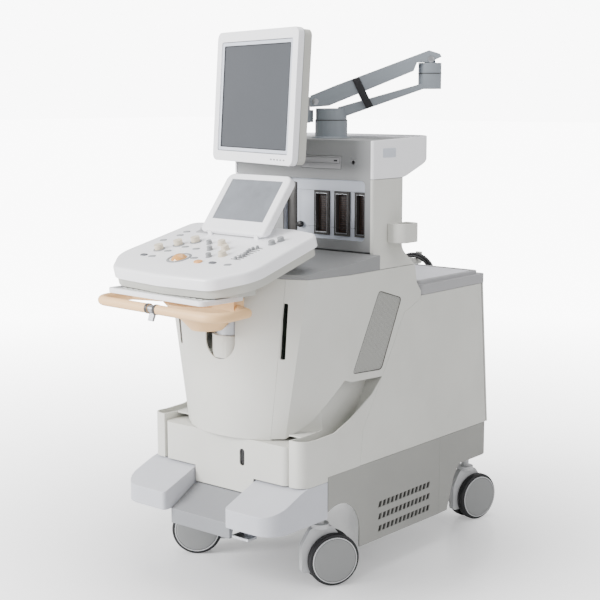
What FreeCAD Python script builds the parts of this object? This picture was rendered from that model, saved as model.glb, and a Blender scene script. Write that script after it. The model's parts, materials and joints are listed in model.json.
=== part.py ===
import FreeCAD, Part
import math
import os

# A mobile ultrasound scanner: a wheeled body, a lifting control console, a probe
# tower and a monitor on a folding arm.  +Z is up, the user stands at -Y, millimetres.
# Y is measured from the middle of the wheelbase while the pieces are made, and
# FRAME_SHIFT then moves every piece so that the origin is under the middle of the box.

V = FreeCAD.Vector
X_AXIS = V(1, 0, 0)
Z_AXIS = V(0, 0, 1)

FRAME_SHIFT = 164.7     # from the middle of the wheelbase to the middle of the box
WALL = 4.0              # moulded cover wall
GAP = 0.6               # seam between neighbouring covers

# Base
HALF_W = 286.0          # half the width over the side covers
BASE_BOTTOM = 100.0
BASE_TOP = 334.0        # joint between the grey base and the light covers
BASE_FRONT = -432.0     # seam between footrest and side cover
REAR_SEAM = 116.0       # seam between side cover and rear cover
BASE_REAR = 404.0       # rearmost point of the base
ARCH_Y = -385.0
ARCH_Z = 150.0
ARCH_R = 97.0

# Casters
CASTER_X = 216.0
CASTER_FRONT_Y = -380.0
CASTER_REAR_Y = 372.0
WHEEL_R = 75.0
WHEEL_W = 23.0
HOOD_W = 20.0
TRAIL = 32.0
STEM_R = 12.0
STEM_FIT = 0.1
SWIVEL_TOP = 262.0
AXLE_R = 6.0

# name, centre x and y, heading of the trail and the side its wheels point to
CASTERS = [
    ("front_right", CASTER_X, CASTER_FRONT_Y, 60.0, 1),
    ("front_left", -CASTER_X, CASTER_FRONT_Y, 40.0, -1),
    ("rear_right", CASTER_X, CASTER_REAR_Y, 76.0, 1),
    ("rear_left", -CASTER_X, CASTER_REAR_Y, 84.0, 1),
]

# Body
BODY_TOP = 880.0
COLUMN_BOTTOM = 432.0
PANEL_SEAM_LOW = 150.0
PANEL_SEAM_HIGH = 205.0
PLATE_TOP = 826.0
BAND_TOP = 814.0
BAND_Z = 785.0
SHELF_FRONT = 20.0
PANEL_TOP_REAR = 358.0  # rear cover at the shelf band
SIDE_SEAM = [(-187, 575), (-126, 671), (-82, 744), (3, 778)]

# Tower
TOWER_FRONT = -200.0
TOWER_HALF = 250.0
TOWER_FOOT = 926.0
TOWER_TOP = 1238.0
TOWER_REAR = -62.0
BAY = (-70.0, 230.0, 955.0, 1126.0)      # probe bay: x from, x to, z from, z to
SOCKETS = [(36.0, 91.0), (110.0, 165.0), (184.0, 226.0)]
SOCKET_Z0 = 964.0
SOCKET_Z1 = 1092.0

# Lift, console
POST_Y = -497.0
POST_R = 50.0
POST_BOTTOM = 440.0
CUP_R = 23.0
LIFT_CORE_R = 34.0
SPIGOT_R = 20.0
POST_TOP = 786.0
CONSOLE_YAW = -3.5
SLOPE = 15.0
PIVOT_Y = -600.0
PIVOT_Z = 950.0
TOP_THICK = 32.0
BALL = (-32.0, -68.0)
BALL_R = 27.0
BALL_SINK = -15.0
KNOBS = [(-155.0, -29.0), (-123.0, 15.0), (-87.0, 48.0)]
KNOB_SHAFT = 4.0
BAR_Y = -788.0
BAR_Z = 812.0
BAR_R = 13.0

# Touch screen
TOUCH_BOTTOM = (-506.0, 990.0)
TOUCH_TILT = 52.5       # from level
TOUCH_H = 196.0
TOUCH_W = 250.0
TOUCH_DEEP = 22.0
TOUCH_PIN = (14.0, 6.0)

# Arm and monitor
ARM_Y = -61.0
ARM_R = 48.0
ARM_AZ = 39.5           # direction of the folded arm, from +X towards +Y
ARM_REACH = 290.0
UPPER_REACH = 338.0
ELBOW_Z = 1427.0
UPPER_RISE = 20.0
YOKE_AT = -72.0         # swivel pin of the monitor bracket, from the arm post
YOKE_PIN_R = 9.0
MON_CENTRE = V(-81, -318, 1359)
MON_YAW = -19.4
MON_TILT = 3.6
MON_W = 468.0
MON_H = 375.0
MON_PIN = -86.0         # tilt pin behind the front face

# Mains lead
CORD_R = 4.75
HOOK_Z = 826.0
HOOK_R = 11.0
HOOK_OUT = 410.0
COIL_IN = 66.0
COIL_OUT = 88.0
COIL_Y = (372.0, 394.0)
COIL_Z = 771.3
GLAND = (204.0, 396.0, 570.0)
LEAD = [(204, 396, 570), (206, 397, 532), (205, 398, 496), (182, 399, 465), (145, 400, 452), (108, 399, 465),
        (85, 397, 497), (79, 395, 540), (77, 392, 586), (79, 389, 634), (81, 386, 680), (80, 384, 718),
        (76, 383, 750)]
TAIL = [(-76, 383, 750), (-80, 384, 720), (-83, 388, 684), (-84, 394, 642), (-84, 399, 604)]
PLUG = (-84.0, 399.0, 604.0)


def box(x0, x1, y0, y1, z0, z1):
    return Part.makeBox(x1 - x0, y1 - y0, z1 - z0, V(x0, y0, z0))


def rod(radius, start, end):
    run = end - start
    return Part.makeCylinder(radius, run.Length, start, run)


def mirror(shape):
    return shape.mirror(V(0, 0, 0), X_AXIS)


def both(shape):
    return Part.makeCompound([shape, mirror(shape)])


def outline(points, radii):
    """Closed wire through the points with each corner turned into an arc."""
    count = len(points)
    if not isinstance(radii, (list, tuple)):
        radii = [radii] * count
    starts = []
    ends = []
    mids = []
    for i, corner in enumerate(points):
        before = (points[i - 1] - corner).normalize()
        after = (points[(i + 1) % count] - corner).normalize()
        half = before.getAngle(after) / 2.0
        radius = radii[i]
        if radius <= 0:
            starts.append(corner)
            ends.append(corner)
            mids.append(None)
            continue
        reach = radius / math.tan(half)
        bisector = (before + after).normalize()
        starts.append(corner + before * reach)
        ends.append(corner + after * reach)
        mids.append(corner + bisector * (radius / math.sin(half) - radius))
    edges = []
    for i in range(count):
        if mids[i] is not None:
            edges.append(Part.Arc(starts[i], mids[i], ends[i]).toShape())
        following = starts[(i + 1) % count]
        if (following - ends[i]).Length > 1e-6:
            edges.append(Part.LineSegment(ends[i], following).toShape())
    return Part.Wire(edges)


def prism(points, radii, sweep):
    return Part.Face(outline(points, radii)).extrude(sweep)


def plan(points, z0, z1, radii=0.0):
    """Upright prism over an outline given as (x, y) points."""
    flat = [V(x, y, z0) for x, y in points]
    return prism(flat, radii, V(0, 0, z1 - z0))


def side(points, x0, x1, radii=0.0):
    """Prism along X over an outline given as (y, z) points."""
    flat = [V(x0, y, z) for y, z in points]
    return prism(flat, radii, V(x1 - x0, 0, 0))


def slab(x0, x1, y0, y1, z0, z1, radius):
    return plan([(x0, y0), (x1, y0), (x1, y1), (x0, y1)], z0, z1, radius)


def cut(shape, *tools):
    for tool in tools:
        shape = shape.cut(tool)
    return shape


def join(first, *others):
    return first.fuse(list(others)).removeSplitter()


def ease(shape, radius, keep):
    """Round the edges that keep(edge) picks."""
    edges = [edge for edge in shape.Edges if keep(edge)]
    return shape.makeFillet(radius, edges) if edges else shape


def level_edges(z):
    def keep(edge):
        return all(abs(v.Z - z) < 0.01 for v in edge.Vertexes) and len(edge.Vertexes) > 1
    return keep


def at_y(shape):
    moved = shape.copy()
    moved.translate(V(0, FRAME_SHIFT, 0))
    return moved


def lowered(shape, drop):
    moved = shape.copy()
    moved.translate(V(0, 0, -drop))
    return moved


def turned(shape, origin, axis, degrees):
    moved = shape.copy()
    moved.rotate(origin, axis, degrees)
    return moved


# ---------------------------------------------------------------- base

def chassis_frame():
    """Welded ladder frame, a bored plate over each caster, the lift's plate and the pedal's lugs."""
    rails = [box(x, x + 30, -404, 385, 266, 300) for x in (-235, 205)]
    rails += [box(-205, 205, y, y + 30, 266, 300) for y in (-350, -60, 320)]
    for x in (-CASTER_X, CASTER_X):
        for y in (CASTER_FRONT_Y, CASTER_REAR_Y):
            rails.append(box(x - 24, x + 24, y - 24, y + 24, 254, 276))
    rails.append(box(-106, 106, -530, -345, 266, 276))
    rails.append(box(60, 68, -500, -472, 150, 267))
    rails.append(box(96, 104, -500, -472, 150, 267))
    frame = join(rails[0], *rails[1:])
    for x in (-CASTER_X, CASTER_X):
        for y in (CASTER_FRONT_Y, CASTER_REAR_Y):
            frame = frame.cut(rod(STEM_R + STEM_FIT, V(x, y, 240), V(x, y, 310)))
    pin = rod(7.08, V(50, -486, 164), V(110, -486, 164))
    return frame.cut(pin).removeSplitter()


def base_side_cover():
    """Right grey side cover with its wheel arch and three ribbed vents."""
    x0 = HALF_W - WALL
    shape = side([(BASE_FRONT + GAP, BASE_BOTTOM), (REAR_SEAM - GAP, BASE_BOTTOM - 6),
                  (REAR_SEAM - GAP, BASE_TOP), (BASE_FRONT + GAP, BASE_TOP)], x0, HALF_W)
    ledge = box(x0 - 26, x0 + 1, BASE_FRONT + GAP, REAR_SEAM - GAP, BASE_TOP - 4, BASE_TOP)
    shape = shape.fuse(ledge)
    arch = rod(ARCH_R, V(200, ARCH_Y, ARCH_Z), V(300, ARCH_Y, ARCH_Z))
    below = box(200, 300, ARCH_Y - ARCH_R, ARCH_Y + ARCH_R, 0, ARCH_Z)
    shape = cut(shape, arch, below)
    for row in range(3):
        z = 118 + 36 * row
        length = (-203, 62)
        ribs = 13
        pitch = (length[1] - length[0]) / ribs
        for i in range(ribs):
            y = length[0] + i * pitch
            slot = side([(y + 3, z), (y + pitch - 2, z), (y + pitch + 4, z + 18), (y + 9, z + 18)],
                        x0 - 1, HALF_W + 1)
            shape = shape.cut(slot)
    return shape.removeSplitter()


def base_rear_cover():
    """Grey cover that wraps the rear corners, open over the rear casters."""
    outer = slab(-HALF_W, HALF_W, REAR_SEAM - 80, BASE_REAR, 94, BASE_TOP, 45)
    inner = slab(-HALF_W + WALL, HALF_W - WALL, REAR_SEAM - 100, BASE_REAR - WALL, 80, BASE_TOP - WALL, 41)
    front = box(-300, 300, REAR_SEAM - 120, REAR_SEAM, 0, 400)
    well = box(-250, 250, REAR_SEAM - 1, BASE_REAR - 60, BASE_TOP - WALL - 1, BASE_TOP + 1)
    arch = side([(148, 60), (172, 123), (196, 190), (225, 228), (450, 228), (450, 60)],
                -300, 300, [0, 0, 20, 20, 0, 0])
    return cut(outer, inner, front, well, arch).removeSplitter()


def footrest():
    """Right footrest: a hollow tread that arches down over the front caster."""
    front = -664.0
    rear = BASE_FRONT - GAP
    points = [(113, rear), (113, front), (HALF_W, front), (HALF_W, rear)]
    block = plan(points, 216, 330, [0, 12, 62, 0])
    arched = [(rear + 10, 200), (rear + 10, 324), (-520, 324), (front - 40, 252), (front - 40, 200)]
    block = block.common(side(arched, 90, 300, [0, 0, 190, 0, 0]))
    room = [(113 + WALL, rear - WALL), (113 + WALL, front + WALL), (HALF_W - WALL, front + WALL),
            (HALF_W - WALL, rear - WALL)]
    underside = [(y, z - WALL) for y, z in arched]
    hollow = plan(room, 190, 400, [0, 8, 58, 0]).common(side(underside, 90, 300, [0, 0, 190, 0, 0]))
    return block.cut(hollow).removeSplitter()


def footrests():
    """Both treads, each with a low landing where the front cover stands on it."""
    landing = plan([(-HALF_W - 1, -543), (HALF_W + 1, -543), (HALF_W + 1, -400), (-HALF_W - 1, -400)],
                   321.4, 480)
    return both(footrest().cut(landing))


def step_platform():
    """Sloping step between the footrests with a rolled front edge."""
    return side([(-640, 176), (-640, 218), (-541, 272), (-532, 272), (-532, 262), (-541, 262), (-620, 219),
                 (-630, 176)], -111, 111)


def pedal():
    """Brake pedal under the step: a plate on an arm that swings on a pin."""
    plate = box(50, 112, -566, -530, 148, 155)
    arm = box(74, 90, -540, -484, 148, 172)
    pin = rod(7, V(58, -486, 164), V(106, -486, 164))
    return join(plate, arm, pin)


def caster_fork(x, y, azimuth, sign):
    """Swivel stem and the hood between the twin wheels."""
    axle_z = WHEEL_R
    stem = rod(STEM_R, V(0, 0, 168), V(0, 0, SWIVEL_TOP + 6))
    race = rod(26, V(0, 0, 166), V(0, 0, 178))
    hood = prism([V(-HOOD_W / 2, -58, 40), V(-HOOD_W / 2, -58, 120), V(-HOOD_W / 2, -30, 168),
                  V(-HOOD_W / 2, 34, 168), V(-HOOD_W / 2, TRAIL + 40, 120), V(-HOOD_W / 2, TRAIL + 40, 60),
                  V(-HOOD_W / 2, TRAIL, 36)], [10, 30, 16, 16, 30, 16, 20], V(HOOD_W, 0, 0))
    shape = join(stem, race, hood)
    bore = rod(AXLE_R + 0.1, V(-60, TRAIL, axle_z), V(60, TRAIL, axle_z))
    shape = shape.cut(bore)
    return place_caster(shape, x, y, azimuth, sign)


def caster_wheel(x, y, azimuth, sign):
    """Twin wheel: two tyres with their hubcaps on one axle."""
    axle = rod(AXLE_R, V(-HOOD_W / 2 - 8, TRAIL, WHEEL_R), V(HOOD_W / 2 + 8, TRAIL, WHEEL_R))
    parts = [axle]
    for way in (-1, 1):
        near = way * (HOOD_W / 2 + 1.0)
        far = near + way * WHEEL_W
        tyre = rod(WHEEL_R, V(near, TRAIL, WHEEL_R), V(far, TRAIL, WHEEL_R))
        tyre = ease(tyre, 6.0, lambda edge: isinstance(edge.Curve, Part.Circle))
        cap = rod(WHEEL_R - 9, V(far - way, TRAIL, WHEEL_R), V(far + way * 3, TRAIL, WHEEL_R))
        parts.append(tyre)
        parts.append(cap)
    wheel = join(parts[0], *parts[1:])
    return place_caster(wheel, x, y, azimuth, sign)


def place_caster(shape, x, y, azimuth, sign):
    """Turn a caster made with its axle along X and its wheel at +Y, and set it in place."""
    angle = azimuth - 90.0
    if sign < 0:
        angle = angle + 180.0
    shape = turned(shape, V(0, 0, 0), Z_AXIS, angle)
    shape.translate(V(x, y, 0))
    return shape


# ---------------------------------------------------------------- body covers

def lower_front_cover():
    """Light cover across the front between the side bins, with a hand slot and a hole for the lift."""
    outer = plan([(-234, -541), (234, -541), (234, -430), (-234, -430)], 322, COLUMN_BOTTOM - 1, [22,
                                                                                                  22, 0, 0])
    inner = plan([(-230, -537), (230, -537), (230, -420), (-230, -420)], 320, COLUMN_BOTTOM - 5, [18,
                                                                                                  18, 0, 0])
    skirt = plan([(-110, -541), (110, -541), (110, -537), (-110, -537)], 275, 324)
    slot = prism([V(60, -560, 352), V(78, -560, 352), V(78, -560, 400), V(60, -560, 400)], 8.9, V(0, 40, 0))
    hole = rod(LIFT_CORE_R + 4, V(0, POST_Y, 400), V(0, POST_Y, 500))
    return cut(join(outer.cut(inner), skirt), slot, hole)


def envelope(inset):
    """Outer form of the upper body from the column foot to the deck, a loft of two plans."""
    foot = envelope_wire(COLUMN_BOTTOM, 182.0 - inset, -560.0 + inset, inset)
    head = envelope_wire(BODY_TOP, 262.0 - inset, -550.0 + inset, inset)
    return Part.makeLoft([foot, head], True, True)


def envelope_wire(z, corner_x, nose, inset):
    """Plan of the upper body: bowed front, slanting corners, straight flanks."""
    corner_y = -490.0 + inset
    flank_x = HALF_W - inset
    rear_y = 20.0 + inset * 10
    edges = [Part.Arc(V(-corner_x, corner_y, z), V(0, nose, z), V(corner_x, corner_y, z)).toShape()]
    points = [V(corner_x, corner_y, z), V(flank_x, -340, z), V(flank_x, rear_y, z),
              V(-flank_x, rear_y, z), V(-flank_x, -340, z), V(-corner_x, corner_y, z)]
    for start, end in zip(points, points[1:]):
        edges.append(Part.LineSegment(start, end).toShape())
    return Part.Wire(edges)


def post_channel():
    """Round-bottomed notch in the front that the lift post stands in."""
    half = POST_R + 5
    notch = prism([V(-half, -620, 646), V(half, -620, 646), V(half, -620, 1000), V(-half, -620, 1000)],
                  [half - 2, half - 2, 0, 0], V(0, 620 + POST_Y, 0))
    return notch.fuse(rod(half, V(0, POST_Y, 646), V(0, POST_Y, 1000)))


def upper_shell():
    """Hollow upper body before it is split into covers."""
    return cut(envelope(0.0), envelope(WALL), post_channel())


def seam_wedge(sign):
    """Everything outboard of the seam beside the column cover."""
    low = sign * PANEL_SEAM_LOW
    high = sign * PANEL_SEAM_HIGH
    far = sign * 400
    return prism([V(low, -700, COLUMN_BOTTOM - 1), V(high, -700, BODY_TOP + 1), V(far, -700, BODY_TOP + 1),
                  V(far, -700, COLUMN_BOTTOM - 1)], 0, V(0, 1000, 0))


def column_cover(shell):
    """Bowed front cover of the column, closed at its foot, with the collar round the lift post."""
    middle = cut(shell, seam_wedge(1), seam_wedge(-1), box(-400, 400, -400, 400, 300, 900))
    foot = envelope(WALL).common(box(-140, 140, -700, -420, COLUMN_BOTTOM, COLUMN_BOTTOM + 4))
    hole = rod(POST_R + 5, V(0, POST_Y, 400), V(0, POST_Y, 500))
    collar = rod(POST_R + 8, V(0, POST_Y, 649), V(0, POST_Y, 711))
    bore = rod(POST_R + 0.4, V(0, POST_Y, 600), V(0, POST_Y, 800))
    nose = envelope(0.0)
    return join(middle, foot.cut(hole), collar.cut(bore).common(nose))


def flank_reach():
    """Side view of the flank panel: swept-up foot, seam with the side panel, step to the shelf."""
    seam = [(y - GAP, z) for y, z in SIDE_SEAM]
    points = [(-600, COLUMN_BOTTOM), (-490, COLUMN_BOTTOM + 4), (-434, 478), (-388, 540), (-352, 590),
              (-330, 582)]
    return side(points + seam + [(2, 799), (-20, 826), (-34, 900), (-600, 900)], 100, 300)


def body_panel(shell):
    """Right flank panel from the column's corner to the speaker bay."""
    wedge = seam_wedge(1)
    wedge.translate(V(GAP, 0, 0))
    opening = side(grille_points(0.0), HALF_W - 10, HALF_W + 1, 10)
    vent = prism([V(182, -540, 660), V(196, -540, 660), V(210, -540, 815), V(196, -540, 815)], 4, V(0, 80, 0))
    return cut(shell.common(wedge).common(flank_reach()), opening, vent)


def grille_points(inset):
    return [(-204 + inset, 822 - inset), (-96 - inset, 790 - inset), (-190 - inset, 596 + inset),
            (-324 + inset, 604 + inset)]


def speaker_grille():
    """Perforated plate set in the flank panel's opening."""
    plate = side(grille_points(0.8), HALF_W - 3.5, HALF_W - 1.0, 9)
    return plate


def side_panel():
    """Right rear side panel behind its sloping seam, leaning in towards the shelf."""
    low = BASE_TOP + GAP
    high = BAND_Z - GAP
    seam = [(y + GAP, z) for y, z in SIDE_SEAM]
    return side([(-288 + GAP, low), (-275 + GAP, 436)] + seam +
                [(3 + GAP, high), (PANEL_TOP_REAR - 24, high), (BASE_REAR - 26, low)], HALF_W - WALL, HALF_W)


def rear_rounding():
    """Leaning block with rounded upright edges that trims the rear corners."""
    wires = []
    for z, rear in ((BASE_TOP, BASE_REAR - 4), (BAND_Z, PANEL_TOP_REAR)):
        points = [V(-HALF_W, 100, z), V(HALF_W, 100, z), V(HALF_W, rear, z), V(-HALF_W, rear, z)]
        wires.append(outline(points, [2, 2, 18, 18]))
    return Part.makeLoft(wires, True, True)


def rear_panel():
    """Light rear cover that leans in towards the shelf, with the cord hook and the cord gland."""
    low = BASE_TOP + GAP
    high = BAND_Z - GAP
    lean = [(BASE_REAR - 4, low), (PANEL_TOP_REAR, high)]
    face = side(lean + [(PANEL_TOP_REAR - WALL, high), (BASE_REAR - 4 - WALL, low)], -HALF_W + 22,
                HALF_W - 22)
    corner = side(lean + [(PANEL_TOP_REAR - 19, high), (BASE_REAR - 23, low)], HALF_W - 22.5, HALF_W - 0.4)
    corner = corner.common(rear_rounding())
    return join(face, corner, mirror(corner), cord_gland(), cord_hook())


def cord_gland():
    """Block on the rear cover with a tapered strain relief that points down."""
    x, y, z = GLAND
    block = box(x - 15, x + 15, 374, y + 12, z + 32, z + 62)
    relief = Part.makeCone(5.6, 9.5, 33, V(x, y, z), Z_AXIS)
    return join(block, relief)


def cord_hook():
    """Hook for the coiled lead: a backplate that rises past the shelf, a post and a lip."""
    foot = box(-16, 16, 356, 366, 766, BAND_Z - GAP)
    plate = box(-16, 16, PANEL_TOP_REAR + 2.6, 366, BAND_Z - 2, HOOK_Z + 14)
    post = rod(HOOK_R, V(0, 365, HOOK_Z), V(0, HOOK_OUT, HOOK_Z))
    lip = box(-HOOK_R, HOOK_R, HOOK_OUT - 5, HOOK_OUT, HOOK_Z, HOOK_Z + 30)
    return join(foot, plate, post, lip)


def bin_lip():
    """Side view of a bin: a lip that sweeps up to the seam with the side panel and follows it down."""
    top, low = SIDE_SEAM[0], (-275, 436)
    return [(-560, 300), (-560, 452), (-480, 449), (-404, 452), (-335, 477), (-234, 531),
            (top[0] - GAP - 2, top[1] - 3), (low[0] - GAP, low[1]), (-288 - GAP, BASE_TOP), (-288 - GAP, 300)]


def scoop(x_in):
    """Right side bin: holder on the flank, open at the top, with a rear wall along the sloping seam."""
    block = plan([(x_in, -538), (HALF_W, -538), (HALF_W, -180), (x_in, -180)], BASE_TOP + GAP, 600, [0,
                                                                                                     34, 0, 0])
    step = plan([(x_in, -538), (HALF_W, -538), (HALF_W, BASE_FRONT - 1), (x_in, BASE_FRONT - 1)],
                322, BASE_TOP + 5, [0, 34, 0, 0])
    rim = side(bin_lip(), 150, 300, [0, 0, 60, 60, 60, 60, 0, 0, 0, 0])
    room = [(x_in + WALL, -534), (HALF_W - WALL, -534), (HALF_W - WALL, -170), (x_in + WALL, -170)]
    hollow = plan(room, BASE_TOP + 8, 620, [10, 30, 0, 0])
    seam = [(SIDE_SEAM[0][0] - GAP - WALL, SIDE_SEAM[0][1]), (-275 - GAP - WALL, 436),
            (-288 - GAP - WALL, BASE_TOP)]
    before_seam = side([(-560, BASE_TOP), (-560, 700), (-150, 700)] + seam, 150, 300)
    return join(block.common(rim), step).cut(hollow.common(before_seam))


def bin_back():
    """Bent wall behind a bin, inside the flank: along the corner panel, then straight to the seam."""
    reach = box(150, 240, -484, SIDE_SEAM[0][0] - GAP - WALL, 445, 600)
    before_seam = side([(-560, 440), (-560, 600), (SIDE_SEAM[0][0] - GAP, 600), (SIDE_SEAM[0][0] - GAP, 575),
                        (-273 - GAP, 440)], 100, 300)
    room = envelope(2 * WALL + 1).common(box(100, 236, -700, 100, 400, 700))
    wall = envelope(WALL + 1).common(reach).cut(room)
    ledge = box(180, 240, -484, -404, 445, 449).cut(room)
    return join(wall, ledge).common(before_seam)


def side_bins():
    """Both side bins with their inner walls, kept clear of the flank panels above them."""
    guard = cut(envelope(-1.0), envelope(WALL + 1)).common(flank_reach().fuse(lowered(flank_reach(), 1.4)))
    shape = cut(join(scoop(236.0), bin_back()), guard)
    return both(max(shape.Solids, key=lambda solid: solid.Volume))


def rear_shelf():
    """Grey band round the top of the rear body and the dished shelf plate on it."""
    rear = PANEL_TOP_REAR + 2
    band = slab(-HALF_W, HALF_W, SHELF_FRONT - 16, rear, BAND_Z, BAND_TOP, 18)
    plate = slab(-HALF_W + 9, HALF_W - 9, SHELF_FRONT - 14, rear - 30, BAND_TOP, PLATE_TOP, 16)
    dish = slab(-HALF_W + 24, HALF_W - 24, SHELF_FRONT + 4, rear - 44, PLATE_TOP - 3, PLATE_TOP + 5, 12)
    hollow = slab(-HALF_W + 8, HALF_W - 8, SHELF_FRONT - 8, rear - 8, BAND_Z - 1, BAND_TOP - 6, 12)
    return cut(join(band, plate), dish, hollow)


def deck_cover():
    """Grey deck on the body in front of the tower, rising gently to the tower's foot."""
    wire = envelope_wire(BODY_TOP + GAP, 264.0, -549.0, 0.0)
    inner = envelope_wire(BODY_TOP + GAP, 256.0, -541.0, 8.0)
    profile = [(-620, 870), (-620, 890), (-490, 894), (TOWER_FRONT - GAP, TOWER_FOOT - 4),
               (TOWER_FRONT - GAP, 870)]
    underside = [(y, z - 6) for y, z in profile]
    block = Part.Face(wire).extrude(V(0, 0, 80)).common(side(profile, -300, 300))
    hollow = Part.Face(inner).extrude(V(0, 0, 80)).common(side(underside, -300, 300))
    return cut(block, hollow, post_channel())


# ---------------------------------------------------------------- tower

def tower_face():
    """Grey front of the tower with the drive opening and the probe bay."""
    x0 = -TOWER_HALF
    x1 = TOWER_HALF
    face = box(x0, x1, TOWER_FRONT, TOWER_FRONT + 5, TOWER_FOOT, TOWER_TOP)
    bay = prism([V(BAY[0], TOWER_FRONT - 1, BAY[2]), V(BAY[1], TOWER_FRONT - 1, BAY[2]),
                 V(BAY[1], TOWER_FRONT - 1, BAY[3]), V(BAY[0], TOWER_FRONT - 1, BAY[3])], 14, V(0, 10, 0))
    slot = box(1, 146, TOWER_FRONT - 1, TOWER_FRONT + 9, 1156, 1193)
    hole = rod(6, V(188, TOWER_FRONT - 1, 1176), V(188, TOWER_FRONT + 9, 1176))
    return cut(face, bay, slot, hole)


def tower_side():
    """White right pillar of the tower: it wraps round the rear and spreads at its foot."""
    inner = TOWER_HALF + GAP
    outer = TOWER_HALF + 11
    front = TOWER_FRONT - 3
    rear = [(TOWER_HALF - 60, 40), (TOWER_HALF - 66, 36)]
    pillar = plan([(inner, front), (outer, front), (outer, TOWER_REAR)] + rear + [(inner, TOWER_REAR - 8)],
                  TOWER_FOOT, 1130, [2, 8, 12, 0, 0, 0])
    foot = []
    for z, out, back in ((BODY_TOP + GAP + 1, HALF_W, -34.0), (TOWER_FOOT, outer, TOWER_REAR)):
        corners = [(inner, TOWER_FRONT), (out, TOWER_FRONT), (out, back)] + rear + [(inner, TOWER_REAR - 8)]
        foot.append(Part.makePolygon([V(x, y, z) for x, y in corners + corners[:1]]))
    shoulder = Part.makeLoft(foot, True, True)
    wall = plan([(280, -34)] + rear + [(275, -41)], PLATE_TOP + 1, BODY_TOP + 3)
    return join(pillar, shoulder, wall)


def tower_sides():
    return both(tower_side())


def tower_back():
    """Grey top plate of the tower under the arm's post, and the back that hangs from it."""
    top = slab(-TOWER_HALF, TOWER_HALF, TOWER_FRONT + 6, 8, TOWER_TOP - 12, TOWER_TOP, 2)
    drop = box(-180, 180, 2, 8, 1140, TOWER_TOP - 6)
    step = box(-180, 180, 2, 36, 1140, 1148)
    back = box(-180, 180, 30, 36, PLATE_TOP + 1, 1148)
    return join(top, drop, step, back)


def rear_tray():
    """White cap of the tower: scooped tray that overhangs the rear, open at the top."""
    x = TOWER_HALF + 11
    front = TOWER_FRONT - 3
    profile = side([(front, 1131), (-52, 1131), (112, 1190), (114, 1247), (front, 1238)],
                   -x, x, [0, 90, 44, 4, 0])
    body = profile.common(plan([(-x, front), (x, front), (x, 114), (-x, 114)], 1100, 1300, [8, 8, 80, 80]))
    tower_room = box(-TOWER_HALF - GAP, TOWER_HALF + GAP, front - 2, 12, 1100, 1300)
    bowl = side([(20, 1180), (60, 1176), (104, 1204), (106, 1260), (20, 1260)], -x + 8, x - 8,
                [6, 40, 20, 0, 0])
    bowl_plan = plan([(-x + 8, 20), (x - 8, 20), (x - 8, 106), (-x + 8, 106)], 1100, 1300, [0, 0, 72, 72])
    return cut(body, tower_room, bowl.common(bowl_plan))


def receptacle_panel():
    """Recessed panel of the probe bay behind the tower's face, bored for three receptacles."""
    panel = box(BAY[0] - 6, BAY[1] + 6, TOWER_FRONT + 20, TOWER_FRONT + 24, BAY[2] - 6, BAY[3] + 6)
    rim = box(BAY[0] - 6, BAY[1] + 6, TOWER_FRONT + 5 + GAP, TOWER_FRONT + 24, BAY[2] - 6, BAY[3] + 6)
    rim = rim.cut(box(BAY[0] - 2, BAY[1] + 2, TOWER_FRONT, TOWER_FRONT + 20, BAY[2] - 2, BAY[3] + 2))
    shape = panel.fuse(rim)
    for x0, x1 in SOCKETS:
        shape = shape.cut(box(x0, x1, TOWER_FRONT, TOWER_FRONT + 30, SOCKET_Z0, SOCKET_Z1))
    return shape.removeSplitter()


def probe_sockets():
    """Three probe receptacles: a metal frame round a slotted contact block."""
    solids = []
    for x0, x1 in SOCKETS:
        y0 = TOWER_FRONT + 13
        frame = box(x0 + 0.5, x1 - 0.5, y0, y0 + 40, SOCKET_Z0 + 0.5, SOCKET_Z1 - 0.5)
        frame = frame.cut(box(x0 + 8, x1 - 8, y0 - 1, y0 + 24, SOCKET_Z0 + 9, SOCKET_Z1 - 9))
        solids.append(frame)
    return Part.makeCompound(solids)


def disc_drive():
    """Drive body behind the face's opening, open at the front for its tray."""
    outer = box(2, 145, TOWER_FRONT - 1, -36, 1157, 1192)
    bay = box(5, 142, TOWER_FRONT - 3, -50, 1172, 1189)
    return outer.cut(bay)


def disc_tray():
    """Sliding disc tray with its front bezel."""
    plate = box(6, 141, TOWER_FRONT + 4, -60, 1174, 1182)
    dish = rod(60.5, V(73.5, -128, 1177), V(73.5, -128, 1190))
    bezel = box(5.5, 141.5, TOWER_FRONT - 3, TOWER_FRONT + 4, 1173, 1188)
    return join(plate.cut(dish), bezel)


def cup_holder():
    """Gel bottle holder on the right pillar."""
    x0 = TOWER_HALF + 11
    x1 = x0 + 56.4
    block = plan([(x0, -134), (x1, -134), (x1, -48), (x0, -48)], 950, 1004, [4, 24, 24, 4])
    block = block.cut(rod(CUP_R, V(x0 + 30, -91, 958), V(x0 + 30, -91, 1010)))
    return block.cut(box(x0 - 1, x0 + 4, TOWER_REAR - 6, 0, 900, 1100))


def electronics_rack():
    """Card cage on the frame inside the rear body, open at the front."""
    cage = box(-190, 190, -60, 340, 300, 740)
    for level in range(10):
        z = 312 + level * 42
        cage = cage.cut(box(-176, 176, -70, 320, z, z + 34))
    return cage


def lift_actuator():
    """Fixed inner tube of the lift on the frame's front plate, with its foot flange."""
    tube = rod(LIFT_CORE_R - 0.08, V(0, POST_Y, 276), V(0, POST_Y, 735))
    flange = rod(38, V(0, POST_Y, 276), V(0, POST_Y, 286))
    motor = box(-30, 30, POST_Y + 40, POST_Y + 110, 276, 400)
    neck = box(-20, 20, POST_Y + 20, POST_Y + 60, 300, 380)
    return join(tube, flange, motor, neck)


# ---------------------------------------------------------------- console

def on_console(shape):
    """Turn a console piece from straight ahead to its resting swivel."""
    return turned(shape, V(0, POST_Y, 0), Z_AXIS, CONSOLE_YAW)


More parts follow.
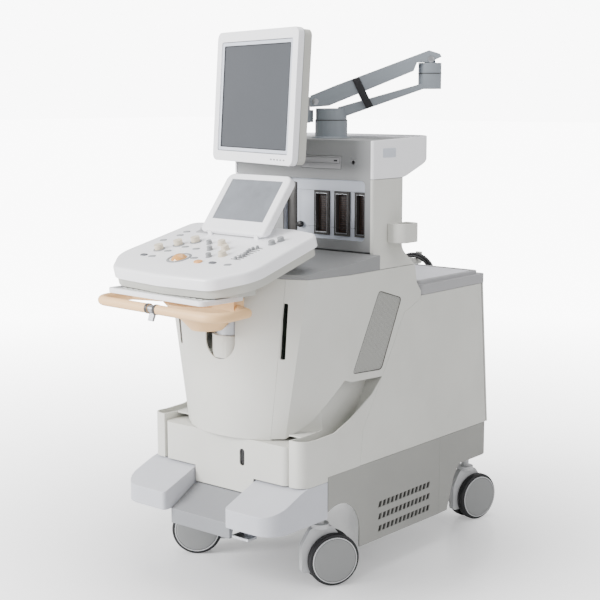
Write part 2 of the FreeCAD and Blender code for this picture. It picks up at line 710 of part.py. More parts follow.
def on_slope(shape):
    """Carry a piece made flat at z = 0 about the pivot onto the sloping panel."""
    lifted = turned(shape, V(0, 0, 0), X_AXIS, SLOPE)
    lifted.translate(V(0, PIVOT_Y, PIVOT_Z))
    return lifted


def console_outline(inset, z0, z1, radius_scale=1.0):
    half = [(0, -186 + inset), (190, -176 + inset), (270 - inset, -84), (246 - inset, 190 - inset),
            (150, 206 - inset)]
    left = [(-x, y) for x, y in reversed(half[1:])]
    radii = [0, 70, 90, 34, 30]
    points = half + left
    corner = radii + list(reversed(radii[1:]))
    return plan(points, z0, z1, corner)


def console_top():
    """Tilted control panel shell, bored for the ball and the knobs, with the touch screen's two lugs."""
    block = ease(console_outline(0.0, -TOP_THICK, 0.0), 9.0, level_edges(0.0))
    shell = block.cut(console_outline(5.0, -TOP_THICK - 5, -5.0))
    shell = shell.cut(Part.makeSphere(BALL_R + 0.6, V(BALL[0], BALL[1], BALL_SINK)))
    for x, y in KNOBS:
        shell = shell.cut(rod(KNOB_SHAFT + 0.2, V(x, y, -20), V(x, y, 5)))
    shell = on_slope(shell)
    pin = on_touch(rod(4.08, V(-130, *TOUCH_PIN), V(130, *TOUCH_PIN)))
    for sign in (-1, 1):
        shell = join(shell, touch_lug(sign))
    return shell.cut(pin)


def touch_lug(sign):
    """Lug that rises from the panel to the touch screen's tilt pin."""
    near = min(sign * 84, sign * 98)
    eye = on_touch(rod(8, V(near, *TOUCH_PIN), V(near + 14, *TOUCH_PIN)))
    centre = eye.CenterOfMass
    stem = box(near, near + 14, centre.y - 6, centre.y + 6, centre.z - 16, centre.z)
    return join(eye, stem)


def trackball():
    return Part.makeSphere(BALL_R, V(BALL[0], BALL[1], BALL_SINK))


def knob(x, y):
    body = rod(12.5, V(x, y, 1.0), V(x, y, 15.0))
    body = ease(body, 2.0, level_edges(15.0))
    shaft = rod(KNOB_SHAFT, V(x, y, -18), V(x, y, 2.0))
    return join(body, shaft)


def console_shell():
    """Lower shell: a floor under the tilted panel, two cheeks at the front and the swivel hub."""
    floor = console_outline(7.0, -TOP_THICK - 24, -TOP_THICK - GAP)
    core = console_outline(12.0, -TOP_THICK - 19, -TOP_THICK + 1)
    tilted = on_slope(floor.cut(core))
    under = on_slope(console_outline(12.0, -400, -TOP_THICK - 22))
    cheek = plan([(201, -748), (226, -740), (232, -640), (201, -634)], 856, 930).common(under)
    bridge = box(-80, 80, -626, -574, 836.6, 960).common(under)
    hub = rod(POST_R, V(0, POST_Y, 836.6), V(0, POST_Y, 990)).common(under)
    neck = box(-38, 38, -575, POST_Y, 836.6, 990).common(under)
    return join(tilted, cheek, mirror(cheek), bridge, hub, neck)


def keyboard_tray():
    """Sliding keyboard tray, stowed under the panel."""
    tray = slab(-190, 190, -788, -634, 837.5, 850.5, 18)
    return tray.cut(slab(-180, 180, -776, -646, 841.5, 851, 10))


def handle():
    """Wrap-round handle: two bar halves swept back to a plate, a dish, and the hub on the lift post."""
    left = handle_bar()
    reach = [(-150, -602), (-60, -577), (-38, -577), (-38, -520), (38, -520), (38, -577), (60, -577),
             (150, -602)]
    plate = plan(reach + [(176, -664), (-176, -664)], BAR_Z - 2, 836)
    dish = Part.makeCone(44, 118, 78, V(0, -596, BAR_Z - 78), Z_AXIS)
    dish = dish.common(plan(reach + [(150, -800), (-150, -800)], 700, BAR_Z + 4))
    hub = rod(POST_R, V(0, POST_Y, POST_TOP + 0.5), V(0, POST_Y, 836))
    shape = join(plate, left, mirror(left), dish, hub)
    clear = rod(POST_R + 0.4, V(0, POST_Y, 600), V(0, POST_Y, POST_TOP + 0.5))
    spigot = rod(SPIGOT_R + 0.08, V(0, POST_Y, POST_TOP), V(0, POST_Y, POST_TOP + 36))
    return cut(shape, clear, spigot)


def handle_bar():
    """Left half of the bar: straight front, rounded corner, arm sweeping back to the plate."""
    z = BAR_Z
    corner = 50.0
    centre = V(-190, BAR_Y + corner, z)
    points = [V(-10.5, BAR_Y, z), V(-190, BAR_Y, z), V(-190 - corner, centre.y, z), V(-228, -668, z),
              V(-140, -632, z)]
    mid = centre + V(-corner, -corner, 0) * math.cos(math.radians(45))
    edges = [Part.LineSegment(points[0], points[1]).toShape(),
             Part.Arc(points[1], mid, points[2]).toShape(),
             Part.LineSegment(points[2], points[3]).toShape(),
             Part.LineSegment(points[3], points[4]).toShape()]
    ring = Part.Wire([Part.Circle(points[0], X_AXIS, BAR_R).toShape()])
    bar = Part.Wire(edges).makePipeShell([ring], True, False, 2)
    return bar.cut(rod(4.08, V(-21, BAR_Y, z), V(0, BAR_Y, z)))


def handle_lever():
    """Release lever hung on a pin in the gap of the front bar."""
    hub = rod(11, V(-9.5, BAR_Y, BAR_Z), V(9.5, BAR_Y, BAR_Z))
    pin = rod(4, V(-20, BAR_Y, BAR_Z), V(20, BAR_Y, BAR_Z))
    blade = side([(BAR_Y - 2, BAR_Z - 6), (BAR_Y - 10, 782), (BAR_Y - 4, 780), (BAR_Y + 7, BAR_Z - 6)],
                 -9.5, 9.5)
    return join(hub, pin, blade)


def lift_post():
    """Moving outer tube of the lift, closed at the top by the swivel spigot."""
    tube = rod(POST_R, V(0, POST_Y, POST_BOTTOM), V(0, POST_Y, POST_TOP))
    core = rod(LIFT_CORE_R, V(0, POST_Y, POST_BOTTOM - 10), V(0, POST_Y, POST_TOP - 12))
    spigot = rod(SPIGOT_R, V(0, POST_Y, POST_TOP - 1), V(0, POST_Y, POST_TOP + 34))
    return join(tube.cut(core), spigot)


def on_touch(shape):
    """Carry a piece drawn upright in X-Z (front at y = 0) onto the touch panel's tilt."""
    leaned = turned(shape, V(0, 0, 0), X_AXIS, -(90.0 - TOUCH_TILT))
    leaned.translate(V(0, TOUCH_BOTTOM[0], TOUCH_BOTTOM[1]))
    return leaned


def touch_screen():
    """Housing of the touch screen on its tilt pin, with two pockets for the panel's lugs."""
    w = TOUCH_W / 2
    block = prism([V(-w, 0, 2), V(w, 0, 2), V(w, 0, TOUCH_H), V(-w, 0, TOUCH_H)], [12, 12, 24, 24],
                  V(0, TOUCH_DEEP, 0))
    block = ease(block, 6.0, lambda edge: all(abs(v.Y) < 0.01 for v in edge.Vertexes))
    heel = side([(9, -1), (TOUCH_DEEP + 1, 20), (TOUCH_DEEP + 1, -1)], -w - 1, w + 1)
    window = box(-w + 26, w - 26, -1, 4, 42, TOUCH_H - 20)
    shape = cut(block, heel, window)
    for sign in (-1, 1):
        near = min(sign * 82, sign * 100)
        shape = shape.cut(box(near, near + 18, 4, TOUCH_DEEP + 1, -1, 17))
    return on_touch(join(shape, rod(4, V(-104, *TOUCH_PIN), V(104, *TOUCH_PIN))))


def touch_glass():
    w = TOUCH_W / 2
    return on_touch(box(-w + 26.3, w - 26.3, 1.2, 3.9, 42.3, TOUCH_H - 20.3))


# ---------------------------------------------------------------- arm and monitor

def arm_direction():
    angle = math.radians(ARM_AZ)
    return V(math.cos(angle), math.sin(angle), 0)


def arm_point(distance, z):
    """Point over the folded arm's line, at a distance from the post's axis."""
    along = arm_direction()
    return V(along.x * distance, ARM_Y + along.y * distance, z)


def arm_prism(points, half_width):
    """Prism across the arm's plane over an outline of (distance, z) points."""
    along = arm_direction()
    across = V(-along.y, along.x, 0)
    flat = [arm_point(d, z) - across * half_width for d, z in points]
    return prism(flat, 0, across * (2 * half_width))


def arm_post():
    """Fixed post on the tower's top with the swivel spigot."""
    drum = rod(ARM_R, V(0, ARM_Y, TOWER_TOP + 0.2), V(0, ARM_Y, 1290))
    spigot = rod(18, V(0, ARM_Y, 1285), V(0, ARM_Y, 1317))
    return join(drum, spigot)


def arm_lower():
    """Rising lower arm: hub on the post, boss under the elbow."""
    beam = arm_prism([(20, 1294), (ARM_REACH - 20, 1381), (ARM_REACH - 20, 1398), (20, 1328)], 27)
    hub = rod(46, V(0, ARM_Y, 1291), V(0, ARM_Y, 1325))
    boss_at = arm_point(ARM_REACH, 1381)
    boss = rod(34, boss_at, arm_point(ARM_REACH, ELBOW_Z - 1))
    spigot = rod(14, arm_point(ARM_REACH, 1400), arm_point(ARM_REACH, ELBOW_Z + 22))
    bore = rod(18.08, V(0, ARM_Y, 1280), V(0, ARM_Y, 1318))
    beam = beam.cut(rod(30, arm_point(ARM_REACH, ELBOW_Z - 1), arm_point(ARM_REACH, ELBOW_Z + 60)))
    return join(beam, hub, boss, spigot).cut(bore)


def arm_elbow():
    """Elbow housing that swivels on the lower arm and holds the upper arm's tilt pin."""
    drum = rod(34, arm_point(ARM_REACH, ELBOW_Z), arm_point(ARM_REACH, ELBOW_Z + 30))
    across = V(-arm_direction().y, arm_direction().x, 0)
    lug = arm_prism([(ARM_REACH - 16, ELBOW_Z + 28), (ARM_REACH + 16, ELBOW_Z + 28),
                     (ARM_REACH + 12, ELBOW_Z + 48), (ARM_REACH - 12, ELBOW_Z + 48)], 12)
    pin_mid = arm_point(ARM_REACH, ELBOW_Z + 40)
    pin = rod(5, pin_mid - across * 26, pin_mid + across * 26)
    socket = rod(14.08, arm_point(ARM_REACH, ELBOW_Z - 5), arm_point(ARM_REACH, ELBOW_Z + 24))
    return join(drum, lug, pin).cut(socket)


def arm_upper():
    """Spring arm from the elbow down to the monitor's neck."""
    pin_z = ELBOW_Z + 40
    far = ARM_REACH - UPPER_REACH
    top_far = neck_z()
    beam = arm_prism([(ARM_REACH + 31, pin_z + 7), (ARM_REACH + 26, pin_z + 16), (ARM_REACH - 6, pin_z + 26),
                      (far + 60, top_far + 48), (far - 14, top_far + 18), (far - 14, top_far - 16),
                      (far + 40, top_far - 12), (ARM_REACH - 50, pin_z - 34), (ARM_REACH - 40, pin_z - 8),
                      (ARM_REACH, pin_z - 8)], 32)
    bay = arm_prism([(ARM_REACH - 38, pin_z - 60), (ARM_REACH + 40, pin_z - 60), (ARM_REACH + 40, pin_z + 14),
                     (ARM_REACH - 38, pin_z + 14)], 12.6)
    drum_room = rod(35, arm_point(ARM_REACH, ELBOW_Z - 40), arm_point(ARM_REACH, ELBOW_Z + 31))
    across = V(-arm_direction().y, arm_direction().x, 0)
    pin_mid = arm_point(ARM_REACH, pin_z)
    pin_bore = rod(5.05, pin_mid - across * 60, pin_mid + across * 60)
    end_mid = arm_point(far, top_far)
    end_bore = rod(6.05, end_mid - across * 60, end_mid + across * 60)
    fork = arm_prism([(far - 40, top_far - 60), (far + 24, top_far - 60), (far + 24, top_far + 60),
                      (far - 40, top_far + 60)], 15)
    return cut(beam, bay, drum_room, pin_bore, end_bore, fork)


def neck_z():
    return ELBOW_Z + 40 - UPPER_REACH * math.tan(math.radians(UPPER_RISE))


def monitor_neck():
    """Block on the arm's end pin that a parallel link keeps level, with a hanging swivel pin."""
    far = ARM_REACH - UPPER_REACH
    z = neck_z()
    across = V(-arm_direction().y, arm_direction().x, 0)
    end = arm_point(far, z)
    pin = rod(6, end - across * 30, end + across * 30)
    block = arm_prism([(far - 34, z - 14), (far + 18, z - 14), (far + 18, z + 14), (far - 34, z + 14)], 14)
    swivel = rod(YOKE_PIN_R, arm_point(YOKE_AT, z - 13), arm_point(YOKE_AT, z - 62))
    return join(pin, block, swivel)


def monitor_basis():
    """Unit vectors of the monitor: right, up and outward normal (towards the viewer)."""
    yaw = math.radians(MON_YAW)
    tilt = math.radians(MON_TILT)
    right = V(math.cos(yaw), math.sin(yaw), 0)
    flat = V(math.sin(yaw), -math.cos(yaw), 0)
    normal = flat * math.cos(tilt) + V(0, 0, math.sin(tilt))
    up = normal.cross(right) * -1.0
    if up.z < 0:
        up = up * -1.0
    return right, up, normal


def mon_point(u, v, w):
    right, up, normal = monitor_basis()
    return MON_CENTRE + right * u + up * v + normal * w


def mon_slab(u0, u1, v0, v1, w0, w1, radius):
    points = [mon_point(u0, v0, w0), mon_point(u1, v0, w0), mon_point(u1, v1, w0), mon_point(u0, v1, w0)]
    _, _, normal = monitor_basis()
    return prism(points, radius, normal * (w1 - w0))


def monitor_bezel():
    """White front bezel, a frame round the panel."""
    w = MON_W / 2
    h = MON_H / 2
    frame = mon_slab(-w, w, -h, h, -20, 0, 22)
    window = mon_slab(-206, 206, -158, 158, -30, 5, 6)
    return frame.cut(window)


def monitor_screen():
    """Display panel set in the bezel."""
    return mon_slab(-205.4, 205.4, -157.4, 157.4, -18, -5, 5)


def monitor_shell():
    """Rear shell with a stepped hump and the tongue that turns on the tilt pin."""
    w = MON_W / 2 - 4
    h = MON_H / 2 - 4
    shell = mon_slab(-w, w, -h, h, -46, -20.3, 20)
    hump = mon_slab(-w + 50, w - 50, -h + 46, h - 46, -64, -45, 30)
    tongue = mon_slab(-14, 14, -14, 14, -95, -63, 4)
    bore = rod(6.08, mon_point(-30, 0, MON_PIN), mon_point(30, 0, MON_PIN))
    return join(shell, hump, tongue).cut(bore)


def arm_strap():
    """Strap buckled round both folded arms."""
    def top(d):
        return neck_z() + 48 + (d - 12) * 101.0 / 272.0

    def under(d):
        return 1294 + (d - 20) * 87.0 / 250.0

    outer = arm_prism([(56, top(56) + 3), (78, top(78) + 3), (126, under(126) - 3), (104,
                                                                                     under(104) - 3)], 35.4)
    inner = arm_prism([(-20, top(-20) + 1), (180, top(180) + 1), (220, under(220) - 1), (20,
                                                                                         under(20) - 1)], 33.4)
    return outer.cut(inner)


# ---------------------------------------------------------------- mains lead

def cord_tube(points):
    """Cord along straight runs joined by the largest tangent arcs the runs allow; prints its radii."""
    spots = [V(*point) for point in points]
    edges = []
    radii = []
    start = spots[0]
    length = 0.0
    for before, corner, after in zip(spots, spots[1:], spots[2:]):
        back = (before - corner)
        ahead = (after - corner)
        reach = 0.45 * min(back.Length, ahead.Length)
        turn = math.pi - back.getAngle(ahead)
        radius = reach / math.tan(turn / 2.0)
        radii.append(round(radius))
        enter = corner + back.normalize() * reach
        leave = corner + ahead.normalize() * reach
        bisector = (enter + leave) * 0.5 - corner
        rise = bisector.Length
        mid = corner + bisector.normalize() * (rise - radius * (1 - math.cos(turn / 2.0)))
        edges.append(Part.LineSegment(start, enter).toShape())
        edges.append(Part.Arc(enter, mid, leave).toShape())
        length += (enter - start).Length + radius * turn
        start = leave
    edges.append(Part.LineSegment(start, spots[-1]).toShape())
    length += (spots[-1] - start).Length
    ring = Part.Wire([Part.Circle(spots[0], spots[1] - spots[0], CORD_R).toShape()])
    tube = Part.Wire(edges).makePipeShell([ring], True, False)
    print("cord length", round(length), "radii", radii)
    print("cord volume ratio", round(tube.Volume / (math.pi * CORD_R ** 2 * length), 3))
    return tube


def cord_coil():
    """Outer shape of the coiled lead on its hook."""
    y0, y1 = COIL_Y
    ring = rod(COIL_OUT, V(0, y0, COIL_Z), V(0, y1, COIL_Z))
    ring = ring.cut(rod(COIL_IN, V(0, y0 - 1, COIL_Z), V(0, y1 + 1, COIL_Z)))
    return ring.makeFillet(5.0, [edge for edge in ring.Edges if isinstance(edge.Curve, Part.Circle)])


def power_plug():
    """Mains plug on the end of the lead: a tapered body with three pins."""
    x, y, z = PLUG
    collar = Part.makeCone(6.0, 9.0, 16, V(x, y, z), -Z_AXIS)
    body = prism([V(x - 10, y, z - 15), V(x + 10, y, z - 15), V(x + 18, y, z - 34), V(x + 18, y, z - 58),
                  V(x - 18, y, z - 58), V(x - 18, y, z - 34)], [4, 4, 8, 3, 3, 8], V(0, 12, 0))
    body.translate(V(0, -6, 0))
    pins = [box(x + dx - 1, x + dx + 1, y - 3, y + 3, z - 76, z - 57) for dx in (-7, 7)]
    pins.append(rod(2.4, V(x, y + 1, z - 79), V(x, y + 1, z - 57)))
    return join(collar, body, *pins)


def monitor_yoke():
    """Bracket that swings on the neck's pin and carries the monitor's tilt pin between two cheeks."""
    z = neck_z()
    hub = rod(19, arm_point(YOKE_AT, z - 60), arm_point(YOKE_AT, z - 24))
    at = arm_point(YOKE_AT, 0)
    bar = plan([(-58, -217), (-33, -222), (at.x + 12, at.y), (at.x - 12, at.y)], z - 58, z - 34)
    back = mon_slab(-24, 24, -72, 12, -122, -108, 4)
    cheeks = [mon_slab(u, u + 8, -12, 12, -110, -74, 0) for u in (-24, 16)]
    pin = rod(6, mon_point(-24, 0, MON_PIN), mon_point(24, 0, MON_PIN))
    shape = join(hub, bar, back, pin, *cheeks)
    return shape.cut(rod(YOKE_PIN_R + 0.08, arm_point(YOKE_AT, z - 70), arm_point(YOKE_AT, z)))


# ---------------------------------------------------------------- output

def save(name, shape):
    if not shape.isValid():
        print("INVALID", name)
    solids = shape.Solids
    if not solids:
        print("EMPTY", name)
    out = at_y(shape)
    out.exportStep("parts/" + name + ".step")
    print(name, len(solids), round(sum(solid.Volume for solid in solids) / 1000.0))


def main():
    os.makedirs("parts", exist_ok=True)
    save("chassis_frame", chassis_frame())
    save("base_side_covers", both(base_side_cover()))
    save("base_rear_cover", base_rear_cover())
    save("footrests", footrests())
    save("step_platform", step_platform())
    save("brake_pedal", pedal())
    for name, x, y, azimuth, sign in CASTERS:
        save("caster_fork_" + name, caster_fork(x, y, azimuth, sign))
        save("caster_wheel_" + name, caster_wheel(x, y, azimuth, sign))
    save("lower_front_cover", lower_front_cover())
    shell = upper_shell()
    save("column_cover", column_cover(shell))
    right = body_panel(shell)
    save("body_panel_right", right)
    save("body_panel_left", mirror(right))
    save("speaker_grilles", both(speaker_grille()))
    save("side_panels", both(side_panel()))
    save("side_bins", side_bins())
    save("rear_shelf", rear_shelf())
    save("rear_panel", rear_panel())
    save("deck_cover", deck_cover())
    save("tower_face", tower_face())
    save("tower_sides", tower_sides())
    save("tower_back", tower_back())
    save("rear_tray", rear_tray())
    save("receptacle_panel", receptacle_panel())
    save("probe_sockets", probe_sockets())
    save("disc_drive", disc_drive())
    save("disc_tray", disc_tray())
    save("cup_holders", both(cup_holder()))
    save("electronics_rack", electronics_rack())
    save("lift_actuator", lift_actuator())
    save("lift_post", lift_post())
    save("console_shell", on_console(console_shell()))
    save("console_top", on_console(console_top()))
    save("trackball", on_console(on_slope(trackball())))
    for name, (x, y) in zip(("left", "middle", "right"), KNOBS):
        save("knob_" + name, on_console(on_slope(knob(x, y))))
    save("keyboard_tray", on_console(keyboard_tray()))
    save("handle", on_console(handle()))
    save("handle_lever", on_console(handle_lever()))
    save("touch_screen", on_console(touch_screen()))
    save("touch_glass", on_console(touch_glass()))
    save("arm_post", arm_post())
    save("arm_lower", arm_lower())
    save("arm_elbow", arm_elbow())
    save("arm_upper", arm_upper())
    save("arm_strap", arm_strap())
    save("monitor_neck", monitor_neck())
    save("monitor_yoke", monitor_yoke())
    save("monitor_shell", monitor_shell())
    save("monitor_bezel", monitor_bezel())
    save("monitor_screen", monitor_screen())
    save("cord_lead", Part.makeCompound([cord_tube(LEAD), cord_tube(TAIL)]))
    save("cord_coil", cord_coil())
    save("power_plug", power_plug())


main()
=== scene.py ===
import json
import math

import bmesh
import bpy
import numpy as np
from bpy.props import FloatProperty, PointerProperty, StringProperty
from bpy.types import Operator, Panel, PropertyGroup
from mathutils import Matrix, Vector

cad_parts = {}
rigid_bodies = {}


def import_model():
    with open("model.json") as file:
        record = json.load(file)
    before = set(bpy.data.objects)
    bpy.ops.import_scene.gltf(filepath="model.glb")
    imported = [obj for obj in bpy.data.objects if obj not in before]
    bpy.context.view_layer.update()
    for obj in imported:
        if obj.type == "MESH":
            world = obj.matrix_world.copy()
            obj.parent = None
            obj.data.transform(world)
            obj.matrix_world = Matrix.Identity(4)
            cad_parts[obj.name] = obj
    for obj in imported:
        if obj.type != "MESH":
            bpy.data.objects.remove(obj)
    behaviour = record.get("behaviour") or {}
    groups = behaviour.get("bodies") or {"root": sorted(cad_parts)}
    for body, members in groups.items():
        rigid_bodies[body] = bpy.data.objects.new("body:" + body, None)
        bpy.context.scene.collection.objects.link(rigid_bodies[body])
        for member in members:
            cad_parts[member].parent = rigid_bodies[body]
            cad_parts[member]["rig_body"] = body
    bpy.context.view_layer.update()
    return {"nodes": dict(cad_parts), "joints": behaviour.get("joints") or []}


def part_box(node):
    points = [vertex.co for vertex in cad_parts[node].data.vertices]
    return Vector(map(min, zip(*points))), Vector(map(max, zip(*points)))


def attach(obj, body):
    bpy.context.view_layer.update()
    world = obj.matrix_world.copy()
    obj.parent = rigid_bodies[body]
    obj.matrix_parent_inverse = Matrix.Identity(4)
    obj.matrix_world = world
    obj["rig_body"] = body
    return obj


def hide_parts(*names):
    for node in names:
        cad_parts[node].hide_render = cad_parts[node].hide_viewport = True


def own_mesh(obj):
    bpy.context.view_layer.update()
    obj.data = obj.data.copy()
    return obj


bl_info = {
    "name": "Cart Ultrasound Scanner Looks",
    "version": (1, 0, 0),
    "blender": (4, 5, 0),
    "location": "3D View > Sidebar > Scanner",
    "description": "Finishes, controls, cables and studio for a cart ultrasound scanner",
    "category": "Object",
}

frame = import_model()
JOINTS = {joint["name"]: joint for joint in frame["joints"]}
MM = 0.001
# Millimetres in Y from the point that trim is laid out from to the frame's own centre.
LAYOUT_SHIFT = 164.7
CAMERA_PLACE = (2.4235, -2.9717, 1.3600)
CAMERA_PITCH = 8.851
CAMERA_HEADING = 39.595
FLOOR_DROP = 0.0004


# ------------------------------------------------------------------ frames of the machine

def joint_place(name):
    return np.array(JOINTS[name]["pos_m"], float)


def joint_axis(name):
    return np.array(JOINTS[name]["axis"], float)


def low(node):
    return np.array(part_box(node)[0], float)


def high(node):
    return np.array(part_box(node)[1], float)


class Plane:
    """Flat working frame: an origin, a right, an up-the-face and an outward direction."""

    def __init__(self, origin, right, outward):
        self.origin = np.asarray(origin, float)
        self.right = np.asarray(right, float) / np.linalg.norm(right)
        self.out = np.asarray(outward, float) / np.linalg.norm(outward)
        self.up = np.cross(self.out, self.right)

    def at(self, x, y, height=0.0):
        """Place of a point given in millimetres on the face and above it."""
        return self.origin + (self.right * x + self.up * y + self.out * height) * MM


def panel_plane():
    """The tilted control panel; its origin is the fold line under the touch screen's user side."""
    right = joint_axis("touch_screen_tilt")
    out = joint_axis("knob_turn_left")
    plane = Plane(joint_place("knob_turn_left"), right, out)
    plane.origin = plane.at(155.0, 29.0)
    return plane


def monitor_plane():
    """Face of the monitor, centred on its display."""
    right = joint_axis("monitor_tilt")
    flat = np.array([right[1], -right[0], 0.0])
    tilt = math.radians(3.6)
    out = flat * math.cos(tilt) + np.array([0.0, 0.0, 1.0]) * math.sin(tilt)
    plane = Plane(joint_place("monitor_tilt"), right, out)
    plane.origin = plane.at(0.0, 0.0, 86.0)
    return plane


def front_plane(y):
    """Upright face that looks towards the user at this depth; x and z are the machine's own."""
    return Plane((0.0, y, 0.0), (1.0, 0.0, 0.0), (0.0, -1.0, 0.0))


def flank_plane(x):
    """Upright face that looks to the machine's right; x on it is the depth, y the height."""
    return Plane((x, 0.0, 0.0), (0.0, 1.0, 0.0), (1.0, 0.0, 0.0))


# ------------------------------------------------------------------ surfaces

def finish_mesh(name, points, faces, smooth=True):
    """Mesh object from places and faces, with doubles merged and its faces turned outwards."""
    mesh = bpy.data.meshes.new(name)
    mesh.from_pydata(points.tolist(), [], faces.tolist())
    work = bmesh.new()
    work.from_mesh(mesh)
    bmesh.ops.remove_doubles(work, verts=work.verts, dist=2e-6)
    bmesh.ops.recalc_face_normals(work, faces=work.faces)
    work.to_mesh(mesh)
    work.free()
    piece = bpy.data.objects.new(name, mesh)
    bpy.context.scene.collection.objects.link(piece)
    mesh.shade_smooth()
    if not smooth:
        mesh.set_sharp_from_angle(angle=math.radians(34))
    return piece


def grid_faces(rows, columns, wrap_rows, wrap_columns):
    """Quads of a grid of rows x columns places, which may close on itself either way."""
    r = np.arange(rows if wrap_rows else rows - 1)
    c = np.arange(columns if wrap_columns else columns - 1)
    r, c = np.meshgrid(r, c, indexing="ij")
    r2 = (r + 1) % rows
    c2 = (c + 1) % columns
    corners = (r * columns + c, r2 * columns + c, r2 * columns + c2, r * columns + c2)
    return np.stack([corner.ravel() for corner in corners], axis=1)


def surface(name, grid, wrap_rows=False, wrap_columns=False, smooth=False):
    """Surface through a grid of places, an array of rows x columns x 3."""
    rows, columns = grid.shape[:2]
    faces = grid_faces(rows, columns, wrap_rows, wrap_columns)
    return finish_mesh(name, grid.reshape(-1, 3), faces, smooth)


def lathe(name, origin, axis, profile, steps=64):
    """Surface of revolution: each (radius, height) of the profile in mm, turned about the axis."""
    axis = np.asarray(axis, float) / np.linalg.norm(axis)
    helper = np.array([0.0, 0.0, 1.0]) if abs(axis[2]) < 0.9 else np.array([1.0, 0.0, 0.0])
    u = np.cross(axis, helper)
    u = u / np.linalg.norm(u)
    v = np.cross(axis, u)
    turn = np.linspace(0.0, 2.0 * math.pi, steps, endpoint=False)
    ring = np.cos(turn)[:, None] * u + np.sin(turn)[:, None] * v
    profile = np.asarray(profile, float) * MM
    grid = profile[:, None, :1] * ring[None] + profile[:, None, 1:2] * axis + np.asarray(origin, float)
    return surface(name, grid, wrap_columns=True)


def rounded_outline(width, depth, corner, steps=6):
    """Rounded rectangle in mm: four corner arcs of the given radius, joined by straight sides."""
    turn = np.linspace(0.0, math.pi / 2.0, steps)
    arcs = []
    for quarter, (sx, sy) in enumerate(((1, 1), (-1, 1), (-1, -1), (1, -1))):
        angle = turn + quarter * math.pi / 2.0
        centre = np.array([sx * (width / 2.0 - corner), sy * (depth / 2.0 - corner)])
        arcs.append(centre + corner * np.stack([np.cos(angle), np.sin(angle)], axis=1))
    return np.concatenate(arcs)


def capped(outline, levels):
    """Grid of a closed solid over an outline: each level is (share of the outline, height in mm)."""
    centre = outline.mean(axis=0)
    levels = np.asarray(levels, float)
    flat = centre + (outline - centre)[None] * levels[:, None, :1]
    tall = np.broadcast_to(levels[:, 1][:, None, None], flat.shape[:2] + (1,))
    return np.concatenate([flat, tall], axis=2)


KEY_LEVELS = [(0.0, -0.5), (1.0, -0.5), (1.0, 0.55), (0.95, 0.85), (0.84, 1.0), (0.0, 1.02)]


def key_levels(height):
    return [(share, level * height) for share, level in KEY_LEVELS]


def caps(name, plane, centres, width, depth, height, corner, turn=0.0):
    """Many like rounded caps in one piece: the same closed solid set at each centre on the plane."""
    outline = rounded_outline(width, depth, corner)
    spin = np.array([[math.cos(turn), math.sin(turn)], [-math.sin(turn), math.cos(turn)]])
    grid = capped(outline @ spin, key_levels(height))
    centres = np.asarray(centres, float)
    rows, columns = grid.shape[:2]
    flat = grid[None, :, :, :2] + centres[:, None, None, :2]
    places = flat[..., :1] * plane.right + flat[..., 1:2] * plane.up + grid[None, :, :, 2:] * plane.out
    places = plane.origin + places * MM
    faces = grid_faces(rows, columns, False, True)
    shift = np.arange(len(centres))[:, None, None] * rows * columns
    return finish_mesh(name, places.reshape(-1, 3), (faces[None] + shift).reshape(-1, 4), False)


def plate(name, plane, outline, bottom, top, round_by=0.6):
    """Closed plate over an outline given in mm on the plane, its upper edge eased."""
    outline = np.asarray(outline, float)
    span = np.ptp(outline, axis=0).min()
    share = 1.0 - 2.0 * round_by / span
    grid = capped(outline, [(0.0, bottom), (1.0, bottom), (1.0, top - round_by), (share, top), (0.0, top)])
    places = grid[..., :1] * plane.right + grid[..., 1:2] * plane.up + grid[..., 2:] * plane.out
    return surface(name, plane.origin + places * MM, wrap_columns=True)


def moved(outline, x, y):
    return np.asarray(outline, float) + np.array([x, y])


def band(name, plane, outline, thickness, height, lift=0.0):
    """Closed frame that follows an outline: a small rounded section carried round it."""
    outline = np.asarray(outline, float)
    centre = outline.mean(axis=0)
    away = outline - centre
    away = away / np.linalg.norm(away, axis=1, keepdims=True)
    turn = np.linspace(0.0, 2.0 * math.pi, 10, endpoint=False)
    side = np.sign(np.cos(turn)) * np.abs(np.cos(turn)) ** 0.6 * thickness / 2.0
    rise = np.sign(np.sin(turn)) * np.abs(np.sin(turn)) ** 0.6 * height / 2.0 + lift
    flat = outline[:, None] + away[:, None] * side[None, :, None]
    places = flat[..., :1] * plane.right + flat[..., 1:] * plane.up + rise[None, :, None] * plane.out
    return surface(name, plane.origin + places * MM, wrap_rows=True, wrap_columns=True, smooth=True)


def softened(node, width):
    """Copy of a moulded part with its edges eased by this many mm, shown in the part's place."""
    source = frame["nodes"][node]
    mesh = source.data.copy()
    mesh.name = node + "_eased"
    work = bmesh.new()
    work.from_mesh(mesh)
    bmesh.ops.remove_doubles(work, verts=work.verts, dist=1e-5)
    bmesh.ops.dissolve_limit(work, angle_limit=math.radians(1.0), verts=work.verts, edges=work.edges,
                             delimit={"NORMAL"})
    work.to_mesh(mesh)
    work.free()
    mesh.shade_smooth()
    mesh.set_sharp_from_angle(angle=math.radians(30))
    piece = bpy.data.objects.new(node + "_eased", mesh)
    bpy.context.scene.collection.objects.link(piece)
    bevel = piece.modifiers.new("Eased edges", "BEVEL")
    bevel.width = width * MM
    bevel.segments = 2
    bevel.limit_method = "ANGLE"
    bevel.angle_limit = math.radians(34)
    bevel.harden_normals = True
    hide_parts(node)
    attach(piece, source["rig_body"])
    return piece


# ------------------------------------------------------------------ materials

def linear(colour):
    """Linear colour of an sRGB hex value."""
    parts = [int(colour[i:i + 2], 16) / 255.0 for i in (1, 3, 5)]
    return tuple(p / 12.92 if p <= 0.04045 else ((p + 0.055) / 1.055) ** 2.4 for p in parts) + (1.0,)


